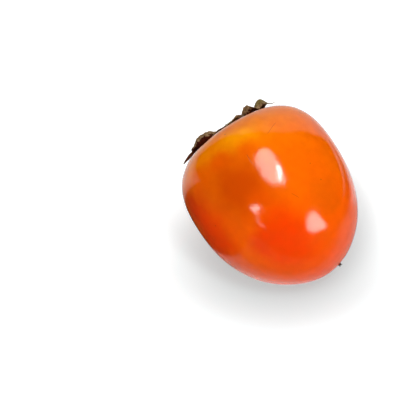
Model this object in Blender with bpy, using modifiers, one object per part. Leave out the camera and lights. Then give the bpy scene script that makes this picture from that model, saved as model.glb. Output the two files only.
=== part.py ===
"""A whole ripe persimmon lying on its side, with its dried calyx and stem stub.

The fruit is modelled upright round its own axis: local +Z points from the blossom end
to the stem end, and local X is the side that ends up on top.  An empty then lays it down
so that it rests on a small flat spot at the world origin, on the plane z = 0.
Units are metres, +Z is up, and the fruit's axis lies in the world XZ plane.
"""

import math

import bmesh
import bpy
from mathutils import Matrix, Vector

# Driving dimensions -------------------------------------------------------------------

FRUIT_RADIUS = 0.0385           # radius at mid-length
FRUIT_HALF_LENGTH = 0.0428      # half the length along the fruit's own axis
EGG = 0.108                     # linear taper: wider at the stem end
BARREL = 0.193                  # fullness of both ends
SHOULDER = 0.203                # extra width of the shoulder, less at the blossom end
LOBING = 0.011                  # depth of the four soft lobes round the body
SIDE_SWELL = 0.005              # one side of the shoulder is a little fuller
DIMPLE_DEPTH = 0.0065           # hollow under the calyx
DIMPLE_RADIUS = 0.0120
APEX_SHIFT = 0.0018             # the blossom end is off the axis, to one side

LOBE_TURN = math.radians(50.0)  # turn of the first sepal, and of the off-centre apex

AXIS_TILT = math.radians(38.5)  # slope of the lying fruit's axis, stem end up
FLAT_DEPTH = 0.0019             # how much of the skin is pressed flat at the resting spot

GAP = 0.00032                   # clearance between pieces that touch

PAD_HALF_WIDTH = 0.0067         # the squarish middle of the calyx
PAD_THICKNESS = 0.0020
PAD_SQUARENESS = 4.0

SEPAL_START = PAD_HALF_WIDTH + GAP + 0.0002
SEPAL_HALF_WIDTH = 0.0104       # measured along the rolled sheet
SEPAL_POINT_WIDTH = 0.0045      # a drawn-out point's half width, per share of length left
SEPAL_TIP_WIDTH = 0.0004
SEPAL_THICKNESS = 0.0008
LUMP_PLACE = 0.84               # where a lobe's crumpled lump stands, as a share of its blade
LUMP_SPREAD = 0.22

STEM_RADIUS = 0.0020
STEM_LENGTH = 0.0052
STEM_LEAN = math.radians(58.0)  # how far the stub bends over by its end

TIP_RADIUS = 0.0009             # dry remnant of the style
TIP_HEIGHT = 0.0015
TIP_HEIGHT_ON_AXIS = -0.975     # place on the skin, as the cosine from the stem end

BODY_SEGMENTS = 56
BODY_RINGS = 32

# Each sepal: name, turn from the first one in degrees, distance of its point from the
# fruit's axis, roll of its two margins in radians, how far it arches off the skin, how
# far its point lifts, its sideways bend, the share of its length that is broad blade, and
# the height of the crumpled lump before its point.
SEPALS = (
    ("sepal_right", 0, 0.0244, 1.20, 1.80, 0.0007, 0.0010, 0.0010, 0.84, 0.0036),
    ("sepal_far", 91, 0.0243, 1.20, 1.50, 0.0010, 0.0016, -0.0008, 0.86, 0.0),
    ("sepal_left", 180, 0.0262, 1.75, 1.30, 0.0007, 0.0016, 0.0028, 0.72, 0.0),
    ("sepal_near", 272, 0.0200, 0.80, 1.00, 0.0003, 0.0002, 0.0010, 0.90, 0.0),
)


# The skin's shape ---------------------------------------------------------------------

def skin_radius(height, turn):
    """Distance of the skin from the axis; height runs from -1 (blossom) to 1 (stem)."""
    fullness = 1 + EGG * height + BARREL * height ** 2 + SHOULDER * height ** 3
    ring = math.sqrt(max(0.0, 1 - height ** 2))
    lobes = 1 - LOBING * ring * math.cos(4 * (turn - LOBE_TURN))
    swell = 1 + SIDE_SWELL * height * ring * math.cos(turn - LOBE_TURN)
    return FRUIT_RADIUS * ring * fullness * lobes * swell


def skin_point(height, turn):
    """Point on the skin in the fruit's own frame."""
    radius = skin_radius(height, turn)
    dimple = DIMPLE_DEPTH * math.exp(-(radius / DIMPLE_RADIUS) ** 2) if height > 0 else 0
    drift = APEX_SHIFT * ((1 - height) / 2) ** 4
    return Vector((
        radius * math.cos(turn) + drift * math.cos(LOBE_TURN),
        radius * math.sin(turn) + drift * math.sin(LOBE_TURN),
        FRUIT_HALF_LENGTH * height - dimple,
    ))


def shoulder_height(x, y):
    """Height of the skin above a point (x, y) near the stem end."""
    turn = math.atan2(y, x)
    reach = math.hypot(x, y)
    low, high = 0.3, 1.0
    for _ in range(40):
        middle = (low + high) / 2
        if skin_radius(middle, turn) > reach:
            low = middle
        else:
            high = middle
    return skin_point(low, turn).z


def shoulder_normal(x, y):
    """Outward direction of the skin above a point (x, y) near the stem end."""
    step = 0.0004
    slope_x = (shoulder_height(x + step, y) - shoulder_height(x - step, y)) / (2 * step)
    slope_y = (shoulder_height(x, y + step) - shoulder_height(x, y - step)) / (2 * step)
    return Vector((-slope_x, -slope_y, 1)).normalized()


# Scene helpers ------------------------------------------------------------------------

def clear_scene():
    """Remove every object that is already in the scene."""
    for old in list(bpy.data.objects):
        bpy.data.objects.remove(old, do_unlink=True)


def new_collection(name):
    """A collection linked to the scene."""
    collection = bpy.data.collections.new(name)
    bpy.context.scene.collection.children.link(collection)
    return collection


def new_material(name, colour, roughness):
    """A plain Principled material."""
    material = bpy.data.materials.new(name)
    material.use_nodes = True
    shader = material.node_tree.nodes["Principled BSDF"]
    shader.inputs["Base Color"].default_value = (*colour, 1)
    shader.inputs["Roughness"].default_value = roughness
    shader.inputs["Metallic"].default_value = 0
    return material


def new_piece(name, mesh_builder, material, parent, collection):
    """An object for one sub-part, from a bmesh shaped in the fruit's own frame."""
    mesh = bpy.data.meshes.new(name)
    mesh_builder.to_mesh(mesh)
    mesh_builder.free()
    mesh.shade_smooth()
    mesh.materials.append(material)
    piece = bpy.data.objects.new(name, mesh)
    piece.parent = parent
    collection.objects.link(piece)
    return piece


# Sub-parts ----------------------------------------------------------------------------

def resting_frame(collection):
    """An empty that lays the fruit down, so its lowest point is just under z = 0."""
    lay_down = Matrix.Rotation(AXIS_TILT - math.pi / 2, 4, "Y")
    lowest = Vector((0, 0, 1))
    for ring in range(-180, 181):
        for step in range(-10, 11):
            place = skin_point(ring / 200, math.pi + step * math.radians(2))
            place = lay_down @ place
            if place.z < lowest.z:
                lowest = place
    frame = bpy.data.objects.new("resting_frame", None)
    frame.matrix_world = Matrix.Translation(-lowest - Vector((0, 0, FLAT_DEPTH))) @ lay_down
    frame.empty_display_size = 0.05
    collection.objects.link(frame)
    return frame


def build_cutter(cutters):
    """A block under z = 0 that presses the skin flat where the fruit rests."""
    bpy.ops.mesh.primitive_cube_add(size=0.12, location=(0, 0, -0.06))
    cutter = bpy.context.active_object
    cutter.name = "table_cutter"
    for owner in list(cutter.users_collection):
        owner.objects.unlink(cutter)
    cutters.objects.link(cutter)
    cutter.hide_render = True
    cutter.display_type = "WIRE"
    return cutter


def build_body(material, frame, parts, cutter):
    """The fruit: a sphere drawn out to the skin's shape, with its flat resting spot."""
    shape = bmesh.new()
    bmesh.ops.create_uvsphere(shape, u_segments=BODY_SEGMENTS, v_segments=BODY_RINGS, radius=1)
    for vertex in shape.verts:
        height = max(-1.0, min(1.0, vertex.co.z))
        vertex.co = skin_point(height, math.atan2(vertex.co.y, vertex.co.x))
    body = new_piece("fruit_body", shape, material, frame, parts)
    flat = body.modifiers.new("resting_spot", "BOOLEAN")
    flat.operation = "DIFFERENCE"
    flat.solver = "EXACT"
    flat.object = cutter
    return body


def build_pad(material, frame, parts):
    """The thick squarish middle of the calyx, fitted to the hollow under it."""
    shape = bmesh.new()
    bmesh.ops.create_uvsphere(shape, u_segments=28, v_segments=12, radius=1)
    square = Matrix.Rotation(LOBE_TURN, 3, "Z")
    for vertex in shape.verts:
        x, y, z = vertex.co
        ring = math.hypot(x, y)
        norm = (abs(x) ** PAD_SQUARENESS + abs(y) ** PAD_SQUARENESS) ** (1 / PAD_SQUARENESS)
        scale = PAD_HALF_WIDTH * ring / norm if norm > 1e-6 else 0
        spot = square @ Vector((x * scale, y * scale, 0))
        thickness = PAD_THICKNESS * (1 + z) / 2
        vertex.co = (spot.x, spot.y, shoulder_height(spot.x, spot.y) + GAP + thickness)
    return new_piece("calyx_disc", shape, material, frame, parts)


def sepal_half_width(along, blade):
    """Half the width of a sepal: a broad blade (0 to 1), then a thin drawn-out point."""
    swell = max(0.0, math.sin(math.pi * (0.22 + 0.78 * blade ** 0.9))) ** 0.8
    point = SEPAL_POINT_WIDTH * (1 - along) * blade ** 3
    return SEPAL_TIP_WIDTH + point + SEPAL_HALF_WIDTH * swell * (1 - 0.3 * blade ** 3)


def rolled_margin(across, half_width, roll):
    """Sideways and upward travel over a margin that rolls by an angle at its edge."""
    steps = 12
    side = rise = 0.0
    for index in range(steps):
        angle = roll * (across * (index + 0.5) / steps) ** 2
        side += math.cos(angle) / steps
        rise += math.sin(angle) / steps
    return half_width * across * side, half_width * abs(across) * rise


def build_sepal(spec, material, frame, parts):
    """One leathery calyx lobe: a sheet over the shoulder with rolled margins."""
    name, degrees, point_reach, roll_left, roll_right, arch, tip_lift, bend, broad, lump = spec
    turn = Matrix.Rotation(LOBE_TURN + math.radians(degrees), 3, "Z")
    shape = bmesh.new()
    bmesh.ops.create_grid(shape, x_segments=20, y_segments=12, size=1)
    for vertex in shape.verts:
        along = (vertex.co.x + 1) / 2
        across = vertex.co.y
        blade = min(1.0, along / broad)
        roll = (roll_left if across > 0 else roll_right) * (1 - 0.6 * blade ** 2 - 0.4 * blade ** 6)
        side, rise = rolled_margin(across, sepal_half_width(along, blade), roll)
        reach = SEPAL_START + (point_reach - SEPAL_START) * along
        spot = turn @ Vector((reach, side + bend * along ** 2, 0))
        lift = GAP + arch * math.sin(math.pi * along) + tip_lift * along ** 4 + rise
        lift += lump * math.exp(-((along / broad - LUMP_PLACE) / LUMP_SPREAD) ** 2)
        foot = Vector((spot.x, spot.y, shoulder_height(spot.x, spot.y)))
        vertex.co = foot + shoulder_normal(spot.x, spot.y) * lift
    sepal = new_piece(name, shape, material, frame, parts)
    sheet = sepal.modifiers.new("thickness", "SOLIDIFY")
    sheet.thickness = SEPAL_THICKNESS
    sheet.offset = 1
    return sepal


def build_stem(material, frame, parts):
    """The stem stub: a short tube that bends over towards the far sepal."""
    away = Vector((-math.sin(LOBE_TURN), math.cos(LOBE_TURN), 0))
    place = Vector((0, 0, shoulder_height(0, 0) + 2 * GAP + PAD_THICKNESS))
    steps = 8
    route = [place.copy()]
    for index in range(steps):
        lean = STEM_LEAN * (index + 0.5) / steps
        place += (away * math.sin(lean) + Vector((0, 0, math.cos(lean)))) * (STEM_LENGTH / steps)
        route.append(place.copy())
    curve = bpy.data.curves.new("stem_stub", "CURVE")
    curve.dimensions = "3D"
    curve.bevel_depth = STEM_RADIUS
    curve.bevel_resolution = 4
    curve.use_fill_caps = True
    spline = curve.splines.new("POLY")
    spline.points.add(len(route) - 1)
    for index, (point, spot) in enumerate(zip(spline.points, route)):
        point.co = (*spot, 1)
        point.radius = 1.0 + 0.12 * (index / steps) ** 2
    curve.materials.append(material)
    stem = bpy.data.objects.new("stem_stub", curve)
    stem.parent = frame
    parts.objects.link(stem)
    return stem


def build_style_tip(material, frame, parts):
    """The tiny dry remnant of the style, standing on the blossom end."""
    foot = skin_point(TIP_HEIGHT_ON_AXIS, LOBE_TURN)
    along = skin_point(TIP_HEIGHT_ON_AXIS + 0.002, LOBE_TURN) - foot
    round_it = skin_point(TIP_HEIGHT_ON_AXIS, LOBE_TURN + 0.02) - foot
    outward = along.cross(round_it).normalized()
    if outward.z > 0:
        outward.negate()
    upright = outward.to_track_quat("Z", "Y").to_matrix().to_4x4()
    shape = bmesh.new()
    bmesh.ops.create_cone(
        shape, cap_ends=True, segments=12,
        radius1=TIP_RADIUS, radius2=TIP_RADIUS * 0.45, depth=TIP_HEIGHT,
        matrix=Matrix.Translation((0, 0, TIP_HEIGHT / 2)),
    )
    tip = new_piece("style_tip", shape, material, frame, parts)
    tip.matrix_local = Matrix.Translation(foot + outward * GAP) @ upright
    return tip


def build():
    """The whole persimmon."""
    clear_scene()
    parts = new_collection("persimmon")
    cutters = new_collection("cutters")
    skin = new_material("skin", (0.80, 0.16, 0.01), 0.2)
    leather = new_material("calyx", (0.16, 0.11, 0.05), 0.7)
    bark = new_material("stem", (0.07, 0.05, 0.03), 0.75)

    frame = resting_frame(parts)
    build_body(skin, frame, parts, build_cutter(cutters))
    build_pad(leather, frame, parts)
    for spec in SEPALS:
        build_sepal(spec, leather, frame, parts)
    build_stem(bark, frame, parts)
    build_style_tip(bark, frame, parts)


build()
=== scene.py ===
"""A whole ripe persimmon lying on its side: the looks.

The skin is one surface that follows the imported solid's own rule, made by Geometry Nodes.
The dried calyx, its stem stub and the style's remnant are sheets and tubes laid on that same
rule, and fine hairs are scattered by Geometry Nodes.  Lengths are metres and +Z is up.
Angles in the fields are degrees, but for lobe_turn, the rolls of a sepal, and the turns of a
scar and of the style's points, which are radians.
"""

import logging
import math
from dataclasses import asdict, dataclass, fields
from enum import Enum

import bpy
import numpy as np
from mathutils import Matrix, Vector, noise


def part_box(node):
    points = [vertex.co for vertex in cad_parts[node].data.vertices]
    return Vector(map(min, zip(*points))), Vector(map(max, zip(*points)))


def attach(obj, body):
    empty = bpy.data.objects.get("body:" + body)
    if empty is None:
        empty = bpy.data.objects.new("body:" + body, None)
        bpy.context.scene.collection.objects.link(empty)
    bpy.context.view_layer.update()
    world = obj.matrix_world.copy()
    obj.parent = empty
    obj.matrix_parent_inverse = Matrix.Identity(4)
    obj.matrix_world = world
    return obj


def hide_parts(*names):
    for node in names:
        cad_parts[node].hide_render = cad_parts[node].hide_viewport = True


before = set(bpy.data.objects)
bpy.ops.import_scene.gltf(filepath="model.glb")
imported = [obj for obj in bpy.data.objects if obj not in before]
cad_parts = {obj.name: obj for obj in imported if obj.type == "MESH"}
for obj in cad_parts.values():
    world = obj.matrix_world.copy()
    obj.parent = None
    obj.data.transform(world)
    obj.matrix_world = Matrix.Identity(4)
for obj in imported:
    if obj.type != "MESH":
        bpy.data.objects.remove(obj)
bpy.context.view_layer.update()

ROOT = "root"
ORIGIN = (0.0, 0.0, 0.0)

log = logging.getLogger("persimmon")


class Slot(Enum):
    """The record's material slots."""

    SKIN = "skin"
    CALYX = "calyx"
    STEM = "stem"
    STYLE = "style"


# Node graphs --------------------------------------------------------------------------


class Signal:
    """A value on its way through a node tree, with ordinary arithmetic."""

    def __init__(self, graph: "Graph", socket: bpy.types.NodeSocket) -> None:
        """Remember the graph and the output socket that carries the value."""
        self.graph = graph
        self.socket = socket

    def __add__(self, other: "Feed") -> "Signal":
        """Sum."""
        return self.graph.math("ADD", self, other)

    def __sub__(self, other: "Feed") -> "Signal":
        """Difference."""
        return self.graph.math("SUBTRACT", self, other)

    def __mul__(self, other: "Feed") -> "Signal":
        """Product."""
        return self.graph.math("MULTIPLY", self, other)

    def __truediv__(self, other: "Feed") -> "Signal":
        """Quotient."""
        return self.graph.math("DIVIDE", self, other)

    def __radd__(self, other: float) -> "Signal":
        """Sum with a number on the left."""
        return self.graph.math("ADD", other, self)

    def __rsub__(self, other: float) -> "Signal":
        """Difference with a number on the left."""
        return self.graph.math("SUBTRACT", other, self)

    def __rtruediv__(self, other: float) -> "Signal":
        """Quotient of a number on the left."""
        return self.graph.math("DIVIDE", other, self)

    def __neg__(self) -> "Signal":
        """Opposite."""
        return self.graph.math("MULTIPLY", self, -1.0)


Feed = Signal | float | tuple | Vector


class Graph:
    """Adds nodes to a shader or geometry tree and wires them."""

    def __init__(self, tree: bpy.types.NodeTree) -> None:
        """Work on the given tree."""
        self.tree = tree

    def feed(self, socket: bpy.types.NodeSocket, value: Feed) -> None:
        """Link a signal to an input socket, or set the socket's own value.

        Args:
            socket: The input socket.
            value: The signal, or the plain value.
        """
        if isinstance(value, Signal):
            self.tree.links.new(value.socket, socket)
        else:
            socket.default_value = value

    def node(self, kind: str, inputs: dict | None = None, **settings: object) -> bpy.types.Node:
        """Add a node.

        Args:
            kind: The node's type name.
            inputs: Values or signals by socket name or number.
            **settings: Properties of the node.

        Returns:
            The new node.
        """
        node = self.tree.nodes.new(kind)
        for name, value in settings.items():
            setattr(node, name, value)
        for key, value in (inputs or {}).items():
            self.feed(node.inputs[key], value)
        return node

    def out(self, node: bpy.types.Node, key: str | int = 0) -> Signal:
        """The signal of one of a node's outputs."""
        return Signal(self, node.outputs[key])

    def math(self, operation: str, *values: Feed) -> Signal:
        """Signal of a Math node."""
        return self.out(self.node("ShaderNodeMath", dict(enumerate(values)), operation=operation))

    def sqrt(self, value: Feed) -> Signal:
        """Square root."""
        return self.math("SQRT", value)

    def exp(self, value: Feed) -> Signal:
        """Exponential."""
        return self.math("EXPONENT", value)

    def cos(self, value: Feed) -> Signal:
        """Cosine of an angle in radians."""
        return self.math("COSINE", value)

    def sin(self, value: Feed) -> Signal:
        """Sine of an angle in radians."""
        return self.math("SINE", value)

    def arctan2(self, y: Feed, x: Feed) -> Signal:
        """Angle of a point from the X axis."""
        return self.math("ARCTAN2", y, x)

    def heaviside(self, value: Feed) -> Signal:
        """One where the value is above zero, else zero."""
        return self.math("GREATER_THAN", value, 0.0)

    def vector_math(self, operation: str, *values: Feed) -> Signal:
        """Vector of a Vector Math node."""
        return self.out(self.node("ShaderNodeVectorMath", dict(enumerate(values)), operation=operation))

    def measure(self, operation: str, *values: Feed) -> Signal:
        """Number of a Vector Math node, such as a length or a dot product."""
        node = self.node("ShaderNodeVectorMath", dict(enumerate(values)), operation=operation)
        return self.out(node, "Value")

    def scaled(self, vector: Feed, factor: Feed) -> Signal:
        """A vector times a number."""
        inputs = {0: vector, "Scale": factor}
        return self.out(self.node("ShaderNodeVectorMath", inputs, operation="SCALE"))

    def vector(self, x: Feed, y: Feed, z: Feed) -> Signal:
        """A vector from its three parts."""
        return self.out(self.node("ShaderNodeCombineXYZ", {0: x, 1: y, 2: z}))

    def split(self, vector: Feed) -> list[Signal]:
        """The three parts of a vector."""
        node = self.node("ShaderNodeSeparateXYZ", {0: vector})
        return [self.out(node, index) for index in range(3)]

    def noise(self, place: Feed, scale: Feed, detail: float = 2.0, rough: float = 0.5) -> Signal:
        """Smooth noise from 0 to 1 at a place."""
        inputs = {"Vector": place, "Scale": scale, "Detail": detail, "Roughness": rough}
        return self.out(self.node("ShaderNodeTexNoise", inputs))

    def ramp(self, value: Feed, start: Feed, end: Feed, low: Feed = 0.0, high: Feed = 1.0) -> Signal:
        """Ease a value from start to end onto the range low to high."""
        inputs = {"Value": value, "From Min": start, "From Max": end, "To Min": low, "To Max": high}
        return self.out(self.node("ShaderNodeMapRange", inputs, interpolation_type="SMOOTHSTEP"))

    def mix(self, factor: Feed, first: Feed, second: Feed) -> Signal:
        """The first colour, with the second laid over it by the factor."""
        inputs = {0: factor, 6: first, 7: second}
        return self.out(self.node("ShaderNodeMix", inputs, data_type="RGBA"), 2)

    def bump(self, height: Feed, distance: float) -> Signal:
        """Normal of a relief whose full height is the distance."""
        inputs = {"Height": height, "Distance": distance, "Strength": 1.0}
        return self.out(self.node("ShaderNodeBump", inputs))

    def dress(self, geometry: Signal, material: bpy.types.Material, leave: bpy.types.Node) -> None:
        """End a geometry tree: make instances real, and set the material.

        Args:
            geometry: The finished geometry.
            material: The material that it wears.
            leave: The tree's output node.
        """
        real = self.node("GeometryNodeRealizeInstances", {"Geometry": geometry})
        inputs = {"Geometry": self.out(real), "Material": material}
        self.feed(leave.inputs["Geometry"], self.out(self.node("GeometryNodeSetMaterial", inputs)))


class Numbers:
    """The same operations as Graph, on plain numbers and arrays."""

    sqrt = staticmethod(np.sqrt)
    exp = staticmethod(np.exp)
    cos = staticmethod(np.cos)
    sin = staticmethod(np.sin)
    arctan2 = staticmethod(np.arctan2)

    @staticmethod
    def heaviside(value: np.ndarray) -> np.ndarray:
        """One where the value is above zero, else zero."""
        return (np.asarray(value) > 0).astype(float)


def new_group(name: str, kind: str, ports: dict, outputs: dict) -> tuple[Graph, dict, bpy.types.Node]:
    """Start a node group.

    Args:
        name: The group's name.
        kind: ShaderNodeTree or GeometryNodeTree.
        ports: Input name to default value; None marks a geometry input.
        outputs: Output name to socket type.

    Returns:
        Its graph, its input signals by name, and its output node.
    """
    tree = bpy.data.node_groups.new(name, kind)
    for port, default in ports.items():
        if default is None:
            tree.interface.new_socket(port, in_out="INPUT", socket_type="NodeSocketGeometry")
            continue
        wide = isinstance(default, (tuple, Vector))
        if wide and len(default) == 4:
            kind_name = "NodeSocketColor"
        elif wide:
            kind_name = "NodeSocketVector"
        else:
            kind_name = "NodeSocketFloat"
        tree.interface.new_socket(port, in_out="INPUT", socket_type=kind_name).default_value = default
    for port, socket_type in outputs.items():
        tree.interface.new_socket(port, in_out="OUTPUT", socket_type=socket_type)
    graph = Graph(tree)
    entry = tree.nodes.new("NodeGroupInput")
    signals = {port: graph.out(entry, port) for port in ports}
    return graph, signals, tree.nodes.new("NodeGroupOutput")


def mask_group(name: str, **sizes: Feed) -> tuple[Graph, dict, bpy.types.NodeSocket]:
    """Start a shader group that reads a Place and gives one Mask.

    Args:
        name: The group's name.
        **sizes: Its other inputs and their defaults, with underscores for spaces.

    Returns:
        Its graph, its input signals by name, and the socket that takes the mask.
    """
    ports = {"Place": ORIGIN} | {key.replace("_", " "): value for key, value in sizes.items()}
    graph, given, leave = new_group(name, "ShaderNodeTree", ports, {"Mask": "NodeSocketFloat"})
    return graph, given, leave.inputs["Mask"]


# Shared surface effects ---------------------------------------------------------------


class Effects:
    """The shader groups that more than one finish uses, each built once."""

    def __init__(self) -> None:
        """Build every group."""
        self.mottle = self._mottle()
        self.specks = self._specks()
        self.patch = self._patch()
        self.hairline = self._hairline()
        self.fibre = self._fibre()

    @staticmethod
    def _mottle() -> bpy.types.NodeTree:
        """Cloudy blotches: large clouds broken up by small ones.

        Returns:
            The group; its mask is 1 in the blotches.
        """
        graph, given, mask = mask_group("Mottle", Size=0.02, Contrast=1.0, Seed=0.0)
        shift = graph.vector(given["Seed"], given["Seed"] * 1.7, given["Seed"] * -0.6)
        place = graph.vector_math("ADD", given["Place"], shift)
        large = graph.noise(place, 1.0 / given["Size"], detail=1.0)
        small = graph.noise(place, 4.3 / given["Size"], detail=4.0, rough=0.6)
        cloud = large * 0.72 + small * 0.28
        graph.feed(mask, graph.ramp((cloud - 0.5) * given["Contrast"], -0.2, 0.2))
        return graph.tree

    @staticmethod
    def _specks() -> bpy.types.NodeTree:
        """Scattered round specks, only some cells of the scatter holding one.

        Returns:
            The group; its mask is 1 in a speck.
        """
        graph, given, mask = mask_group("Specks", Spacing=0.004, Radius=0.0002, Share=0.3)
        inputs = {"Vector": given["Place"], "Scale": 1.0 / given["Spacing"], "Randomness": 1.0}
        cells = graph.node("ShaderNodeTexVoronoi", inputs)
        luck, size, _ = graph.split(graph.out(cells, "Color"))
        reach = graph.out(cells, "Distance") * given["Spacing"]
        radius = given["Radius"] * (0.45 + size)
        dot = graph.ramp(reach, radius * 0.15, radius, 1.0, 0.0)
        chosen = graph.math("LESS_THAN", luck, given["Share"])
        graph.feed(mask, dot * chosen)
        return graph.tree

    @staticmethod
    def _patch() -> bpy.types.NodeTree:
        """A soft blot of colour round a centre, its outline wandering.

        Returns:
            The group; its mask fades from 1 at the centre.
        """
        graph, given, mask = mask_group("Patch", Centre=ORIGIN, Radius=0.01, Wander=0.3)
        reach = graph.measure("DISTANCE", given["Place"], given["Centre"])
        cloud = graph.noise(given["Place"], 1.6 / given["Radius"], detail=3.0, rough=0.55)
        share = reach / given["Radius"] + (cloud - 0.5) * given["Wander"] * 2.0
        graph.feed(mask, graph.ramp(share, 0.15, 1.0, 1.0, 0.0))
        return graph.tree

    @staticmethod
    def _hairline() -> bpy.types.NodeTree:
        """A thin straight scratch through a point, along a plane.

        Returns:
            The group; its mask is 1 on the scratch.
        """
        graph, given, mask = mask_group(
            "Hairline", Middle=ORIGIN, Across=(1.0, 0.0, 0.0), Half_Length=0.006, Width=0.0001
        )
        arm = graph.vector_math("SUBTRACT", given["Place"], given["Middle"])
        aside = graph.measure("DOT_PRODUCT", arm, given["Across"])
        waver = (graph.noise(given["Place"], 300.0) - 0.5) * 0.0005
        off = graph.math("ABSOLUTE", aside + waver)
        line = graph.ramp(off, given["Width"] * 0.3, given["Width"], 1.0, 0.0)
        reach = graph.measure("LENGTH", arm)
        ends = graph.ramp(reach, given["Half Length"] * 0.6, given["Half Length"], 1.0, 0.0)
        graph.feed(mask, line * ends)
        return graph.tree

    @staticmethod
    def _fibre() -> bpy.types.NodeTree:
        """Streaks that run along the third part of the place.

        Returns:
            The group; its mask is 1 on the streaks.
        """
        graph, given, mask = mask_group("Fibre", Fineness=1.0, Stretch=0.1)
        x, y, z = graph.split(given["Place"])
        place = graph.vector(x, y, z * given["Stretch"])
        broad = graph.noise(place, given["Fineness"], detail=3.0, rough=0.65)
        fine = graph.noise(place, given["Fineness"] * 3.1, detail=2.0)
        graph.feed(mask, graph.ramp(broad * 0.65 + fine * 0.35, 0.3, 0.7))
        return graph.tree

    @staticmethod
    def use(graph: Graph, group: bpy.types.NodeTree, **inputs: Feed) -> Signal:
        """Place a group in a material.

        Args:
            graph: The material's graph.
            group: The shader group.
            **inputs: Its inputs, with spaces in their names written as underscores.

        Returns:
            The signal of its output.
        """
        node = graph.tree.nodes.new("ShaderNodeGroup")
        node.node_tree = group
        for key, value in inputs.items():
            graph.feed(node.inputs[key.replace("_", " ")], value)
        return graph.out(node)

    def mottled(self, paint: "Paint", size: float, contrast: float, seed: float) -> Signal:
        """Mask of cloudy blotches.

        Args:
            paint: The material being built.
            size: Size of the large clouds, in metres.
            contrast: Higher makes the blotches' edges harder.
            seed: Shifts the clouds.

        Returns:
            The mask.
        """
        return self.use(
            paint.graph, self.mottle, Place=paint.place, Size=size, Contrast=contrast, Seed=seed
        )

    def specked(self, paint: "Paint", spacing: float, radius: float, share: float) -> Signal:
        """Mask of scattered specks.

        Args:
            paint: The material being built.
            spacing: Size of the scatter's cells, in metres.
            radius: Size of a speck, in metres.
            share: Share of the cells that hold a speck.

        Returns:
            The mask.
        """
        return self.use(
            paint.graph, self.specks, Place=paint.place, Spacing=spacing, Radius=radius, Share=share
        )


class Paint:
    """One Principled material being built, on object coordinates."""

    def __init__(self, name: str, constants: dict) -> None:
        """Start the material and set the shader's constant inputs.

        Args:
            name: The material's name.
            constants: Values of the shader's sockets that stay the same all over.
        """
        self.material = bpy.data.materials.new(name)
        self.material.use_nodes = True
        self.graph = Graph(self.material.node_tree)
        self.shader = self.material.node_tree.nodes["Principled BSDF"]
        for key, value in constants.items():
            self.shader.inputs[key].default_value = value
        self.place = self.graph.out(self.graph.node("ShaderNodeTexCoord"), "Object")

    def attribute(self, name: str) -> Signal:
        """A number stored on the piece's points."""
        node = self.graph.node("ShaderNodeAttribute", attribute_name=name)
        return self.graph.out(node, "Fac")

    def wear(self, **inputs: Feed) -> bpy.types.Material:
        """Link the shader's varying inputs.

        Args:
            **inputs: Signals by socket name, with underscores for spaces.

        Returns:
            The finished material.
        """
        for key, value in inputs.items():
            self.graph.feed(self.shader.inputs[key.replace("_", " ")], value)
        return self.material


def rgb(red: float, green: float, blue: float) -> tuple[float, float, float, float]:
    """A linear colour with full alpha."""
    return (red, green, blue, 1.0)


WHITE = rgb(1.0, 1.0, 1.0)


# The fruit's shape --------------------------------------------------------------------


@dataclass(frozen=True)
class SkinRule:
    """The rule of the skin, in the fruit's own frame: +Z towards the stem end."""

    radius: float = 0.0385
    half_length: float = 0.0428
    egg: float = 0.108
    barrel: float = 0.193
    shoulder: float = 0.203
    lobing: float = 0.011
    side_swell: float = 0.005
    dimple_depth: float = 0.0065
    dimple_radius: float = 0.0120
    apex_shift: float = 0.0018
    lobe_turn: float = math.radians(50.0)
    crease_depth: float = 0.00035
    crease_place: float = 1.45
    crease_narrowness: float = 1.9

    @staticmethod
    def surface(ops: type[Numbers] | Graph, x: Feed, y: Feed, z: Feed, size: dict) -> tuple:
        """Draw a unit sphere out to the skin.

        Args:
            ops: Numbers for arrays, or the Graph of a node tree.
            x: First part of the point on the unit sphere.
            y: Second part.
            z: Third part, the height along the axis from -1 to 1.
            size: Every field of this class by name.

        Returns:
            The three parts of the point on the skin.
        """
        ring = ops.sqrt(x * x + y * y + 1e-12)
        turn = ops.arctan2(y, x) - size["lobe_turn"]
        fullness = 1.0 + (size["egg"] + (size["barrel"] + size["shoulder"] * z) * z) * z
        lobes = 1.0 - size["lobing"] * ring * ops.cos(turn * 4.0)
        swell = 1.0 + size["side_swell"] * z * ring * ops.cos(turn)
        spread = size["radius"] * fullness * lobes * swell
        reach = spread * ring / size["dimple_radius"]
        hollow = ops.exp(reach * reach * -1.0) * size["dimple_depth"]
        shelf = (reach - size["crease_place"]) * size["crease_narrowness"]
        crease = ops.exp(shelf * shelf * -1.0) * (0.5 - ops.cos(turn * 4.0) * 0.5)
        low = (1.0 - z) * 0.5
        drift = low * low * low * low * size["apex_shift"]
        sink = (hollow + crease * crease * size["crease_depth"]) * ops.heaviside(z)
        return (
            spread * x + drift * ops.cos(size["lobe_turn"]),
            spread * y + drift * ops.sin(size["lobe_turn"]),
            size["half_length"] * z - sink,
        )


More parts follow.
